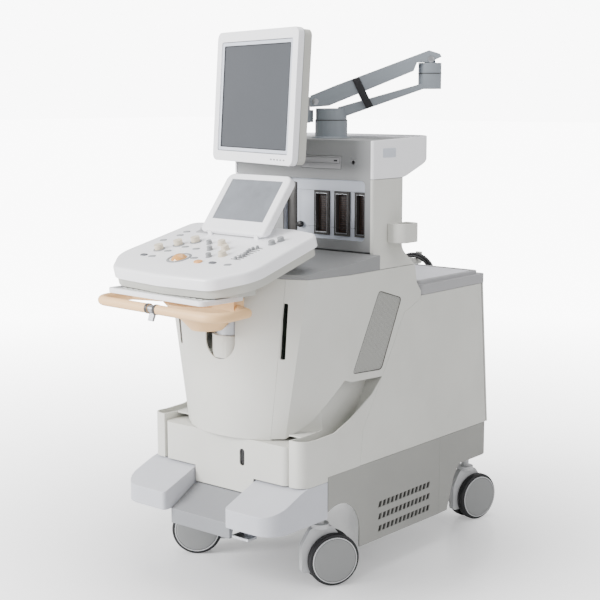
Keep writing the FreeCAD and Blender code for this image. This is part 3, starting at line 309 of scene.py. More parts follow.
def add(tree, kind, settings=None, **links):
    """Adds a node, sets its properties and sockets, and links the named sockets to other outputs."""
    made = tree.nodes.new(kind)
    for name, value in (settings or {}).items():
        if name in made.inputs:
            made.inputs[name].default_value = value
        else:
            setattr(made, name, value)
    for name, source in links.items():
        tree.links.new(source, made.inputs[name.replace("_", " ")])
    return made


def finish(name, colour, rough, grain_mm=1.2, depth=0.05, metal=0.0, shade=0.04, coat=0.0, cloud_mm=180.0):
    """Moulded or painted finish: an even colour with a slow drift, a fine grain and uneven gloss."""
    material = bpy.data.materials.new(name)
    material.use_nodes = True
    tree = material.node_tree
    shader = tree.nodes["Principled BSDF"]
    shader.inputs["Metallic"].default_value = metal
    shader.inputs["Coat Weight"].default_value = coat
    shader.inputs["Coat Roughness"].default_value = 0.12
    place = add(tree, "ShaderNodeTexCoord").outputs["Object"]
    drift = add(tree, "ShaderNodeTexNoise", {"Scale": 1000.0 / cloud_mm, "Detail": 3.0}, Vector=place)
    base = linear(colour)
    ramp = add(tree, "ShaderNodeValToRGB", Fac=drift.outputs["Fac"])
    ramp.color_ramp.elements[0].position = 0.3
    ramp.color_ramp.elements[1].position = 0.7
    ramp.color_ramp.elements[0].color = tuple(c * (1.0 - shade) for c in base[:3]) + (1.0,)
    ramp.color_ramp.elements[1].color = tuple(min(c * (1.0 + shade), 1.0) for c in base[:3]) + (1.0,)
    tree.links.new(ramp.outputs["Color"], shader.inputs["Base Color"])
    grain = add(tree, "ShaderNodeTexNoise", {"Scale": 1000.0 / grain_mm, "Detail": 2.0}, Vector=place)
    gloss = add(tree, "ShaderNodeMapRange", {"To Min": rough * 0.85, "To Max": rough * 1.15},
                Value=grain.outputs["Fac"])
    tree.links.new(gloss.outputs["Result"], shader.inputs["Roughness"])
    bump = add(tree, "ShaderNodeBump", {"Strength": 0.35, "Distance": depth * MM},
               Height=grain.outputs["Fac"])
    tree.links.new(bump.outputs["Normal"], shader.inputs["Normal"])
    return material


def shader_of(material):
    return material.node_tree.nodes["Principled BSDF"]


def brushed(name, colour, rough, grain_mm=0.5):
    """Brushed metal: a grain drawn out along the length, seen as fine streaks in the gloss."""
    material = finish(name, colour, rough, grain_mm, 0.02, metal=1.0, shade=0.03)
    tree = material.node_tree
    place = add(tree, "ShaderNodeTexCoord").outputs["Object"]
    drawn = add(tree, "ShaderNodeMapping", {"Scale": (1.0, 1.0, 0.04)}, Vector=place)
    streak = add(tree, "ShaderNodeTexNoise", {"Scale": 1000.0 / grain_mm, "Detail": 3.0},
                 Vector=drawn.outputs["Vector"])
    gloss = add(tree, "ShaderNodeMapRange", {"To Min": rough * 0.7, "To Max": rough * 1.3},
                Value=streak.outputs["Fac"])
    tree.links.new(gloss.outputs["Result"], shader_of(material).inputs["Roughness"])
    return material


def perforated(name, colour, pitch_mm, hole_mm):
    """Perforated sheet: round holes in a square grid drawn as dark dimples, at the pitch given in mm."""
    material = finish(name, colour, 0.45, 0.8, 0.02, metal=0.0)
    tree = material.node_tree
    place = add(tree, "ShaderNodeTexCoord").outputs["Object"]
    scaled = add(tree, "ShaderNodeVectorMath", {"operation": "SCALE"}, Vector=place)
    scaled.inputs["Scale"].default_value = 1000.0 / pitch_mm
    cell = add(tree, "ShaderNodeVectorMath", {"operation": "FRACTION"})
    tree.links.new(scaled.outputs["Vector"], cell.inputs[0])
    flat = add(tree, "ShaderNodeVectorMath", {"operation": "MULTIPLY"})
    tree.links.new(cell.outputs["Vector"], flat.inputs[0])
    flat.inputs[1].default_value = (0.0, 1.0, 1.0)
    away = add(tree, "ShaderNodeVectorMath", {"operation": "DISTANCE"})
    tree.links.new(flat.outputs["Vector"], away.inputs[0])
    away.inputs[1].default_value = (0.0, 0.5, 0.5)
    hole = add(tree, "ShaderNodeMath", {"operation": "LESS_THAN"})
    tree.links.new(away.outputs["Value"], hole.inputs[0])
    hole.inputs[1].default_value = 0.5 * hole_mm / pitch_mm
    mix = add(tree, "ShaderNodeMix", {"data_type": "RGBA"})
    tree.links.new(hole.outputs["Value"], mix.inputs["Factor"])
    mix.inputs[6].default_value = linear(colour)
    mix.inputs[7].default_value = linear("#3A3A3C")
    tree.links.new(mix.outputs[2], shader_of(material).inputs["Base Color"])
    return material


def woven(name, colour, thread_mm):
    """Polyester webbing: crossed ribs a thread apart that catch the light as a fine weave."""
    material = finish(name, colour, 0.75, thread_mm, 0.2)
    tree = material.node_tree
    shader_of(material).inputs["Sheen Weight"].default_value = 0.4
    place = add(tree, "ShaderNodeTexCoord").outputs["Object"]
    ribs = add(tree, "ShaderNodeTexWave", {"Scale": 1000.0 / thread_mm / 6.28, "Distortion": 0.3},
               Vector=place)
    bump = add(tree, "ShaderNodeBump", {"Strength": 0.6, "Distance": 0.3 * MM}, Height=ribs.outputs["Fac"])
    tree.links.new(bump.outputs["Normal"], shader_of(material).inputs["Normal"])
    return material


def make_materials(colours):
    """Every finish of the machine, named for what it is made of."""
    made = {
        # Textured ABS covers: soft broad highlights, a slight warm grey.
        "cover": finish("textured ABS, warm light grey", colours.cover, 0.46, 0.9, 0.06),
        # Structural foam base: coarser moulding grain, duller.
        "base": finish("structural foam base, mid grey", colours.base, 0.6, 1.6, 0.12),
        # Wear-resistant nylon treads: cool grey, a little gloss on the crest.
        "tread": finish("nylon tread, cool grey", colours.tread, 0.42, 1.4, 0.1),
        # Polycarbonate front panels: clean cool white with a clear gloss.
        "white": finish("gloss polycarbonate, cool white", colours.white, 0.3, 0.7, 0.02, coat=0.25,
                        shade=0.015),
        # Painted deck and tower face: even satin, in a grey that is partly the paint's own and partly
        # painted shade from the monitor and console.
        "deck": finish("satin painted ABS, grey with painted shade", colours.deck, 0.48, 0.9, 0.05),
        # Moulded shelf: cool grey with a duller, coarser grain.
        "shelf": finish("shelf moulding, cool grey", colours.shelf, 0.5, 1.2, 0.07),
        # Painted die-cast arms: blue grey with a fine orange peel.
        "arm": finish("painted die-cast arm, blue grey", colours.arm, 0.36, 2.4, 0.06),
        # Soft-touch elastomer over the handle: matt, warm.
        "handle": finish("soft-touch elastomer, peach", colours.handle, 0.5, 0.8, 0.04),
        # Ribbed nylon: coarse and matt underfoot.
        "step": finish("ribbed nylon step, mid grey", "#85878B", 0.5, 3.0, 0.3),
        # Beige grey moulding: the same fine grain as the covers.
        "skirt": finish("textured ABS, beige grey", "#BDBDB6", 0.46, 0.9, 0.05),
        # Silicone rubber: matt and soft at its edges.
        "orange": finish("silicone rubber key, orange", "#E0A468", 0.45, 0.6, 0.02),
        # Silicone rubber in slate, matt.
        "dark_key": finish("silicone rubber key, slate", "#5C5E62", 0.5, 0.6, 0.02),
        # Pale pad: smoother than the shelf it lies on.
        "pad": finish("shelf pad, pale cool grey", "#DCDCE2", 0.35, 1.2, 0.05),
        # Powder coat: black and even, with a fine grain.
        "frame_steel": finish("powder-coated steel, black", "#2A2A2C", 0.55, 0.8, 0.08),
        # Anodised and brushed: streaked, cool highlights.
        "aluminium": brushed("anodised aluminium", "#C4C6CA", 0.34),
        # Brushed stainless: streaked, a little darker.
        "steel": brushed("brushed stainless steel", "#AEB0B4", 0.3),
        # Polyurethane: black and dull.
        "tyre": finish("polyurethane tyre, black", "#17171A", 0.55, 1.0, 0.1),
        # Nylon hubcap: mid grey, dull.
        "cap": finish("nylon hubcap, grey", "#8C8D8D", 0.5, 1.2, 0.06),
        # Nylon hood: light grey, a little gloss.
        "hood": finish("nylon caster hood, light grey", "#C6C7C8", 0.42, 1.2, 0.06),
        # Painted perforated sheet: dark holes in an even grey.
        "grille": perforated("perforated steel, painted grey", "#A9A9A4", 3.4, 1.9),
        # Anti-glare glass: a soft wide reflection.
        "screen": finish("switched-off display, anti-glare glass", colours.screen, 0.3, 0.3, 0.004,
                         shade=0.03, coat=0.4),
        # Touch glass: clear gloss over grey.
        "touch": finish("touch glass, grey", "#787C82", 0.2, 40.0, 0.3, shade=0.12, coat=0.6, cloud_mm=60.0),
        # Charcoal moulding, satin.
        "dark": finish("moulded ABS, charcoal", "#3A3836", 0.5, 0.9, 0.05),
        # Black moulding, satin.
        "black": finish("moulded ABS, black", "#101012", 0.45, 0.9, 0.04),
        # Contact block: dark brown, dull.
        "contact": finish("contact block, dark brown", "#3B2A22", 0.5, 2.0, 0.3),
        # Pale grey silicone, matt.
        "button": finish("silicone rubber key, pale grey", "#D9D9D6", 0.5, 0.6, 0.02),
        # Grey silicone, matt.
        "button_grey": finish("silicone rubber key, grey", "#8E9092", 0.5, 0.6, 0.02),
        # Moulded knob: cream, satin.
        "cream": finish("moulded knob, cream", "#D8CDB8", 0.42, 0.6, 0.03),
        # Polished phenolic: a small sharp highlight.
        "amber": finish("polished phenolic ball, amber", "#D59A55", 0.12, 6.0, 0.002, coat=0.6,
                        shade=0.08, cloud_mm=9.0),
        # Cool white moulding, slightly glossy.
        "bay": finish("moulded bay, cool white", "#C9CED8", 0.4, 0.9, 0.03),
        # PVC cord: black with a soft sheen.
        "cable": finish("PVC cord, black", "#111114", 0.42, 1.4, 0.05),
        # Woven webbing: ribs that catch the light.
        "strap": woven("polyester webbing, black", "#1C1C20", 1.6),
        # Painted card cage: green grey, even.
        "board": finish("painted card cage, green grey", "#4F5F52", 0.6, 3.0, 0.1),
    }
    return made


NODE_FINISH = {
    "chassis_frame": "frame_steel", "base_side_covers": "base", "base_rear_cover": "base",
    "footrests": "tread",
    "step_platform": "step", "brake_pedal": "aluminium", "lower_front_cover": "cover",
    "column_cover": "cover",
    "body_panel_right": "cover", "body_panel_left": "cover", "speaker_grilles": "grille",
    "side_panels": "cover",
    "side_bins": "cover", "rear_shelf": "shelf", "rear_panel": "cover", "deck_cover": "deck",
    "tower_face": "deck", "tower_sides": "cover", "tower_back": "deck", "rear_tray": "white",
    "receptacle_panel": "bay", "probe_sockets": "dark", "disc_drive": "shelf", "disc_tray": "shelf",
    "cup_holders": "cover", "electronics_rack": "board", "lift_actuator": "steel", "lift_post": "aluminium",
    "console_shell": "skirt", "console_top": "white", "trackball": "amber", "knob_left": "cream",
    "knob_middle": "cream", "knob_right": "cream", "keyboard_tray": "white", "handle": "handle",
    "handle_lever": "steel", "touch_screen": "white", "touch_glass": "touch", "arm_post": "arm",
    "arm_lower": "arm", "arm_elbow": "arm", "arm_upper": "arm", "monitor_neck": "steel",
    "monitor_yoke": "arm",
    "monitor_shell": "skirt", "monitor_bezel": "white", "monitor_screen": "screen", "power_plug": "cable",
    "cord_coil": "cable", "cord_lead": "cable", "arm_strap": "strap",
}
EASED = {
    "base_rear_cover": 1.6, "footrests": 3.0, "step_platform": 1.6,
    "lower_front_cover": 1.6, "column_cover": 1.2, "side_panels": 1.2, "side_bins": 1.4, "rear_shelf": 2.4,
    "rear_panel": 1.2, "deck_cover": 1.4, "tower_face": 1.0, "tower_sides": 1.6, "rear_tray": 2.0,
    "cup_holders": 2.0, "console_shell": 1.6, "console_top": 1.2, "keyboard_tray": 1.2, "touch_screen": 1.2,
    "monitor_shell": 4.0, "monitor_bezel": 2.2, "arm_upper": 4.0, "arm_lower": 3.0, "arm_elbow": 1.6,
    "handle": 1.4,
}
finishes = {}


def dress(piece, key, body=None):
    """Gives a piece its finish and, for a new piece, the body that it moves with."""
    piece.data.materials.clear()
    piece.data.materials.append(finishes[key])
    if body is not None:
        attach(piece, body)
    return piece


# ------------------------------------------------------------------ settings

class ScannerSizes(PropertyGroup):
    """Sizes a user may change."""

    key_height: FloatProperty(name="Key height", description="Rise of a panel key", default=2.2, min=0.5,
                              max=6.0)
    cord_width: FloatProperty(name="Cord width", description="Mains lead diameter", default=0.0095,
                              unit="LENGTH")
    lens: FloatProperty(name="Lens", description="Focal length of the camera in mm", default=78.5)
    key_light: FloatProperty(name="Key light", description="Power of the main softbox in watts",
                             default=400.0)
    fill_light: FloatProperty(name="Fill light", description="Power of the side softbox in watts",
                              default=16.0)
    top_light: FloatProperty(name="Top light", description="Power of the overhead softbox in watts",
                             default=60.0)
    sky: FloatProperty(name="Room light", description="Strength of the white surroundings", default=0.9)
    backdrop: FloatProperty(name="Backdrop", description="Brightness of the backdrop as seen", default=9.0)


class ScannerColours(PropertyGroup):
    """Colours of the main finishes, as sRGB hex values."""

    cover: StringProperty(name="Covers", description="Body covers", default="#CFCFC9")
    base: StringProperty(name="Base", description="Base covers", default="#969692")
    tread: StringProperty(name="Treads", description="Footrests and step", default="#BFC1C8")
    white: StringProperty(name="White parts", description="Console, monitor and tray", default="#F8F8FB")
    # Deck grey: partly the paint's own, partly painted shade from the monitor and console.
    deck: StringProperty(name="Deck", description="Deck and tower face", default="#88898A")
    shelf: StringProperty(name="Shelf", description="Rear shelf", default="#A4A4A6")
    arm: StringProperty(name="Arms", description="Monitor arms", default="#8E959C")
    handle: StringProperty(name="Handle", description="Handle", default="#F1C48E")
    screen: StringProperty(name="Display", description="Switched-off display", default="#43464B")


# ------------------------------------------------------------------ operators

class StudioOperator(Operator):
    """Camera, softboxes, white surroundings and a pale floor."""

    bl_idname = "scanner.studio"
    bl_label = "Studio"

    def execute(self, context):
        sizes = context.scene.scanner_sizes
        camera_data = bpy.data.cameras.new("Camera")
        camera_data.lens = sizes.lens
        camera_data.sensor_width = 36.0
        camera = bpy.data.objects.new("Camera", camera_data)
        camera.location = CAMERA_PLACE
        camera.rotation_euler = (math.radians(90.0 - CAMERA_PITCH), 0.0, math.radians(CAMERA_HEADING))
        context.scene.collection.objects.link(camera)
        context.scene.camera = camera
        self.softbox(context, "Key softbox", (-2.0, -3.8, 2.4), (72.0, 0.0, -28.0), 2.4, sizes.key_light)
        self.softbox(context, "Side softbox", (3.4, 0.2, 2.2), (68.0, 0.0, 92.0), 2.2, sizes.fill_light)
        self.softbox(context, "Top softbox", (0.0, 0.4, 3.6), (0.0, 0.0, 0.0), 2.6, sizes.top_light)
        world = bpy.data.worlds.new("White room")
        world.use_nodes = True
        tree = world.node_tree
        background = tree.nodes["Background"]
        background.inputs["Color"].default_value = (1.0, 1.0, 1.0, 1.0)
        seen = add(tree, "ShaderNodeLightPath").outputs["Is Camera Ray"]
        strength = add(tree, "ShaderNodeMapRange", {"To Min": sizes.sky, "To Max": sizes.backdrop},
                       Value=seen)
        tree.links.new(strength.outputs["Result"], background.inputs["Strength"])
        context.scene.world = world
        steps = np.linspace(-60.0, 60.0, 5)
        x, y = np.meshgrid(steps, steps, indexing="ij")
        grid = np.stack([x, y, np.full_like(x, -FLOOR_DROP)], axis=2)
        floor = surface("Floor", grid)
        if floor.data.polygons[0].normal.z < 0:
            floor.data.flip_normals()
        floor.data.materials.append(self.floor_finish())
        return {"FINISHED"}

    def floor_finish(self):
        """Polished white floor that glows more with distance, so that it meets the white surroundings."""
        material = finish("polished pale floor", "#F2F2F3", 0.22, 60.0, 0.0, shade=0.01)
        tree = material.node_tree
        place = add(tree, "ShaderNodeTexCoord").outputs["Object"]
        away = add(tree, "ShaderNodeVectorMath", {"operation": "LENGTH"}, Vector=place)
        limits = {"From Min": 0.5, "From Max": 4.5, "To Min": 0.25, "To Max": 9.0}
        glow = add(tree, "ShaderNodeMapRange", limits, Value=away.outputs["Value"])
        seen = add(tree, "ShaderNodeLightPath").outputs["Is Camera Ray"]
        only_seen = add(tree, "ShaderNodeMath", {"operation": "MULTIPLY"})
        tree.links.new(glow.outputs["Result"], only_seen.inputs[0])
        tree.links.new(seen, only_seen.inputs[1])
        shader = shader_of(material)
        shader.inputs["Emission Color"].default_value = (1.0, 1.0, 1.0, 1.0)
        tree.links.new(only_seen.outputs["Value"], shader.inputs["Emission Strength"])
        return material

    def softbox(self, context, name, place, turn, size, power):
        light_data = bpy.data.lights.new(name, "AREA")
        light_data.shape = "SQUARE"
        light_data.size = size
        light_data.energy = power
        light = bpy.data.objects.new(name, light_data)
        light.location = place
        light.rotation_euler = tuple(math.radians(a) for a in turn)
        context.scene.collection.objects.link(light)


class CordOperator(Operator):
    """Mains lead: out of its gland, up into the coil on the hook, and down to its plug."""

    bl_idname = "scanner.cord"
    bl_label = "Mains lead"

    def execute(self, context):
        width = context.scene.scanner_sizes.cord_width
        rise = [(204, 396, 570), (206, 397, 532), (205, 398, 496), (182, 399, 465), (145, 400, 452),
                (108, 399, 465), (85, 397, 497), (79, 395, 540), (77, 392, 586), (79, 389, 634),
                (81, 386, 680), (80, 384, 718)]
        drop = [(-80, 384, 720), (-83, 388, 684), (-84, 394, 642), (-84, 399, 604)]
        route = [(x * MM, (y + LAYOUT_SHIFT) * MM, z * MM) for x, y, z in rise]
        coil_low, coil_high = low("cord_coil"), high("cord_coil")
        centre = (coil_low + coil_high) / 2.0
        middle = (coil_high[0] - coil_low[0]) / 2.0 - 11.0 * MM
        turns = 4
        count = 14 * turns + 8
        for i in range(count):
            angle = 2.0 * math.pi * i / 14.0
            lap = i / 14.0
            radius = middle + 4.6 * MM * math.sin(lap * 2.3 + 0.4)
            depth = centre[1] + 5.6 * MM * math.cos(lap * 1.37)
            route.append((centre[0] + radius * math.cos(angle), depth, centre[2] + radius * math.sin(angle)))
        route += [(x * MM, (y + LAYOUT_SHIFT) * MM, z * MM) for x, y, z in drop]
        curve = bpy.data.curves.new("mains_lead", "CURVE")
        curve.dimensions = "3D"
        curve.bevel_depth = width / 2.0
        curve.bevel_resolution = 4
        curve.use_fill_caps = True
        spline = curve.splines.new("NURBS")
        spline.points.add(len(route) - 1)
        for point, place in zip(spline.points, route):
            point.co = (*place, 1.0)
        spline.order_u = 3
        spline.use_endpoint_u = True
        spline.resolution_u = 6
        lead = bpy.data.objects.new("mains_lead", curve)
        context.scene.collection.objects.link(lead)
        lead.data.materials.append(finishes["cable"])
        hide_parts("cord_lead", "cord_coil")
        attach(lead, "cart")
        return {"FINISHED"}


class BodyFinishOperator(Operator):
    """Finishes on every CAD part, and eased edges on the moulded ones."""

    bl_idname = "scanner.body"
    bl_label = "Body finishes"

    def execute(self, context):
        finishes.update(make_materials(context.scene.scanner_colours))
        for node, piece in frame["nodes"].items():
            if node.startswith("caster_fork"):
                key = "hood"
            elif node.startswith("caster_wheel"):
                key = "tyre"
            else:
                key = NODE_FINISH[node]
            dress(piece, key)
            if node in EASED:
                dress(softened(node, EASED[node]), key)
            else:
                piece.data.shade_smooth()
                piece.data.set_sharp_from_angle(angle=math.radians(32))
        return {"FINISHED"}


class WheelOperator(Operator):
    """Hubcaps: a shallow dish with a raised centre and a thin rim on each side of a caster."""

    bl_idname = "scanner.wheels"
    bl_label = "Hubcaps"

    def execute(self, context):
        dish = [(0.0, 1.5), (20.0, 1.4), (40.0, 1.1), (56.0, 0.7), (61.0, 0.3), (62.4, -0.6),
                (62.4, -3.0), (0.0, -3.0)]
        ring = [(62.8, -0.6), (63.2, 0.6), (64.4, 0.9), (65.6, 0.5), (66.2, -0.6), (66.2, -2.4),
                (62.8, -2.4), (62.8, -0.6)]
        for name in ("front_right", "front_left", "rear_right", "rear_left"):
            centre = joint_place("wheel_roll_" + name)
            axle = joint_axis("wheel_roll_" + name)
            for side in (-1, 1):
                outer = centre + axle * side * 37.2 * MM
                body = "wheel_" + name
                tag = "right" if side > 0 else "left"
                dress(lathe("hubcap_%s_%s" % (name, tag), outer, axle * side, dish), "cap", body)
                dress(lathe("hubcap_ring_%s_%s" % (name, tag), outer, axle * side, ring), "hood", body)
        return {"FINISHED"}


class PanelControlsOperator(Operator):
    """Keys, sliders, knobs and rings of the control panel."""

    bl_idname = "scanner.controls"
    bl_label = "Panel controls"

    def execute(self, context):
        face = panel_plane()
        tall = context.scene.scanner_sizes.key_height
        ball = joint_place("trackball_roll") - face.origin
        bx = float(ball @ face.right) / MM
        by = float(ball @ face.up) / MM
        ring = [(27.9, -0.4), (27.9, 1.3), (29.0, 2.2), (32.0, 2.2), (34.5, 1.2), (35.6, -0.4), (27.9, -0.4)]
        dress(lathe("trackball_ring", face.at(bx, by), face.out, ring, 72), "button_grey", "console")
        pale = [(-116, -33), (-86, 6), (-37, 1), (-187, 80), (-190, 109), (17, -58), (162, -74),
                (-130, -79), (-208, 34)]
        dress(caps("oval_keys", face, pale, 22.0, 10.0, tall, 4.8, 0.35), "button_grey", "console")
        dark = [(-167.0, -76.0), (104.0, -73.0)]
        dress(caps("dark_keys", face, dark, 25.0, 14.0, tall, 6.8), "dark_key", "console")
        dress(caps("freeze_key", face, [(54.0, -78.0)], 26.0, 19.0, tall + 1.6, 9.0), "orange", "console")
        rows = np.stack([np.full(8, 152.0), np.linspace(-34.0, 50.0, 8)], axis=1)
        dress(caps("gain_slots", face, rows, 38.0, 2.6, 0.8, 1.2), "dark", "console")
        wave = 7.0 * np.sin(np.arange(8) * 0.9)
        sliders = rows + np.stack([wave, np.zeros(8)], axis=1)
        dress(caps("gain_sliders", face, sliders, 7.0, 7.5, 8.0, 1.8), "button_grey", "console")
        self.dials(face, [(-29.0, 45.0), (13.0, 6.0), (54.0, -38.0)], 8.0, 11.0, "button_grey", "small_dial")
        self.dials(face, [(16.0, 50.0), (60.0, 19.0), (90.0, -21.0)], 11.5, 13.0, "cream", "middle_dial")
        self.dials(face, [(170.0, 87.0), (177.0, 115.0)], 9.5, 11.0, "button_grey", "right_dial")
        top = np.stack([np.linspace(-140.0, 23.0, 6), np.linspace(129.0, 134.0, 6)], axis=1)
        self.dials(face, top, 8.0, 10.0, "button_grey", "soft_dial")
        for side in ("left", "middle", "right"):
            place = joint_place("knob_turn_" + side)
            skirt = [(13.2, 0.2), (16.4, 0.2), (17.2, 1.0), (16.2, 2.0), (13.2, 2.2), (13.2, 0.2)]
            dress(lathe("knob_skirt_" + side, place, face.out, skirt), "button_grey", "console")
        return {"FINISHED"}

    def dials(self, face, centres, radius, height, key, name):
        profile = [(0.0, -0.6), (radius * 1.16, -0.6), (radius * 1.16, 1.0), (radius, 1.6),
                   (radius * 0.94, height - 1.2),
                   (radius * 0.84, height), (radius * 0.5, height - 0.5), (0.0, height - 0.5)]
        for index, (x, y) in enumerate(centres):
            dress(lathe("%s_%d" % (name, index + 1), face.at(x, y), face.out, profile, 40), key, "console")


class ConsoleTrimOperator(Operator):
    """Ledge on the console, ferrules either side of the handle lever, and the sliding tray's keyboard."""

    bl_idname = "scanner.trim"
    bl_label = "Console trim"

    def execute(self, context):
        face = panel_plane()
        ledge = moved(rounded_outline(236.0, 38.0, 9.0), -42.0, 131.0)
        dress(plate("touch_ledge", face, ledge, -0.5, 1.4), "shelf", "console")
        right = joint_axis("touch_screen_tilt")
        tray = Plane((low("keyboard_tray") + high("keyboard_tray")) / 2.0, right, (0.0, 0.0, 1.0))
        tray.origin[2] = high("keyboard_tray")[2] - 9.0 * MM
        x, y = np.meshgrid(np.arange(-161.0, 162.0, 23.0), np.arange(-50.0, 51.0, 20.0), indexing="ij")
        keys = np.stack([x.ravel(), y.ravel()], axis=1)
        dress(caps("keyboard_keys", tray, keys, 20.0, 17.0, 6.5, 2.5), "button", "keyboard")
        lever = joint_place("handle_lever_pull")
        for side in (-1, 1):
            ferrule = [(0.0, 0.0), (13.4, 0.0), (13.9, 1.0), (13.9, 9.0), (13.2, 10.0), (13.2, 0.5),
                       (0.0, 0.5)]
            start = lever + right * side * 10.7 * MM
            tag = "right" if side > 0 else "left"
            dress(lathe("handle_ferrule_" + tag, start, right * side, ferrule), "dark", "console")
        return {"FINISHED"}


class ColumnTrimOperator(Operator):
    """Collar bands on the lift post, and dark pieces that paint the shade inside the base's vents, the
    column's side vents and the foot cover's slot.
    """

    bl_idname = "scanner.column"
    bl_label = "Column trim"

    def execute(self, context):
        post = (low("lift_post") + high("lift_post")) / 2.0
        for index, z in enumerate((0.668, 0.690)):
            ring = [(52.0, -3.0), (54.9, -3.0), (55.4, 0.0), (54.9, 3.0), (52.0, 3.0), (52.0, -3.0)]
            dress(lathe("collar_band_%d" % (index + 1), (post[0], post[1], z), (0, 0, 1), ring, 72),
                  "dark", "cart")
        shift = LAYOUT_SHIFT * MM
        for tag, way in (("right", 1.0), ("left", -1.0)):
            # Dark sheet behind the base's vents: painted shade.
            self.shade_sheet_behind_vents("vent_shade_sheet_" + tag, way)
            # Dark vane liner in the column's side vent: painted shade in the recess.
            x = np.array([172.0, 206.0, 220.0, 186.0]) * MM * way
            z = np.array([652.0, 652.0, 823.0, 823.0]) * MM
            self.vent_shade_liner("side_vent_shade_" + tag, x, z, -0.478 + shift)
        # Black plate inside the foot cover's slot: painted shade in the recess.
        slot = front_plane(low("lower_front_cover")[1] + 3.6 * MM)
        dress(plate("slot_shade_liner", slot, moved(rounded_outline(17.0, 47.0, 8.0), 69.0, 376.0), -3.0, 0.0),
              "black", "cart")
        return {"FINISHED"}

    def shade_sheet_behind_vents(self, name, way):
        """Dark sheet behind the base's vents, painted shade for the base's dim inside: a flat grid of places
        with a little thickness.
        """
        y, z = np.meshgrid(np.linspace(-0.045, 0.235, 60), np.linspace(0.110, 0.216, 24), indexing="ij")
        piece = surface(name, np.stack([np.full_like(y, 0.2803 * way), y, z], axis=2))
        thick = piece.modifiers.new("Thickness", "SOLIDIFY")
        thick.thickness = 0.8 * MM
        dress(piece, "dark", "cart")

    def vent_shade_liner(self, name, x, z, y):
        """Dark vane set behind a vent, painted shade for the recess: a shallow box whose face is ribbed by a
        sine along its height.
        """
        v = np.linspace(0.0, 1.0, 60)
        u = np.linspace(0.0, 1.0, 6)
        v, u = np.meshgrid(v, u, indexing="ij")
        left = x[0] + (x[3] - x[0]) * v
        right = x[1] + (x[2] - x[1]) * v
        depth = y + 1.5 * MM * np.sin(v * 80.0)
        grid = np.stack([left + (right - left) * u, depth, z[0] + (z[2] - z[0]) * v], axis=2)
        piece = surface(name, grid)
        thick = piece.modifiers.new("Thickness", "SOLIDIFY")
        thick.thickness = 1.2 * MM
        dress(piece, "dark", "cart")


class FlankTrimOperator(Operator):
    """Frame of the speaker grille and the screw caps of the side and rear panels."""

    bl_idname = "scanner.flank"
    bl_label = "Flank trim"

    def execute(self, context):
        for tag, way in (("right", 1.0), ("left", -1.0)):
            face = flank_plane(high("body_panel_right")[0] * way)
            if way < 0:
                face = Plane(face.origin, (0.0, -1.0, 0.0), (-1.0, 0.0, 0.0))
            grille = np.array([(-204, 822), (-96, 790), (-190, 596), (-324, 604)], float)
            grille[:, 0] += LAYOUT_SHIFT
            grille[:, 0] *= way
            outline = self.eased(grille, 14.0)
            dress(band("grille_rim_" + tag, face, outline, 2.6, 2.4, -0.6), "dark", "cart")
        rear = Plane((0.0, high("rear_shelf")[1], 0.0), (-1.0, 0.0, 0.0), (0.0, 1.0, 0.0))
        spots = []
        for z in (380.0, 560.0, 740.0):
            lean = 40.0 - (z - 334.0) * 42.0 / 451.0
            spots += [(-250.0, z, lean), (250.0, z, lean)]
        for index, (x, z, lean) in enumerate(spots):
            cap = [(0.0, 1.4), (4.2, 1.2), (5.6, 0.2), (5.6, -2.4), (0.0, -2.4)]
            dress(lathe("screw_cap_%d" % (index + 1), rear.at(x, z, lean), rear.out, cap, 28),
                  "button_grey", "cart")
        return {"FINISHED"}

    def eased(self, corners, radius):
        """Outline with each corner replaced by a short curve between its two sides."""
        count = len(corners)
        parts = []
        for i in range(count):
            corner = corners[i]
            back = corners[i - 1] - corner
            ahead = corners[(i + 1) % count] - corner
            start = corner + back / np.linalg.norm(back) * radius
            end = corner + ahead / np.linalg.norm(ahead) * radius
            t = np.linspace(0.0, 1.0, 8)[:, None]
            parts.append(start * (1 - t) ** 2 + 2 * corner * t * (1 - t) + end * t ** 2)
        return np.concatenate(parts)


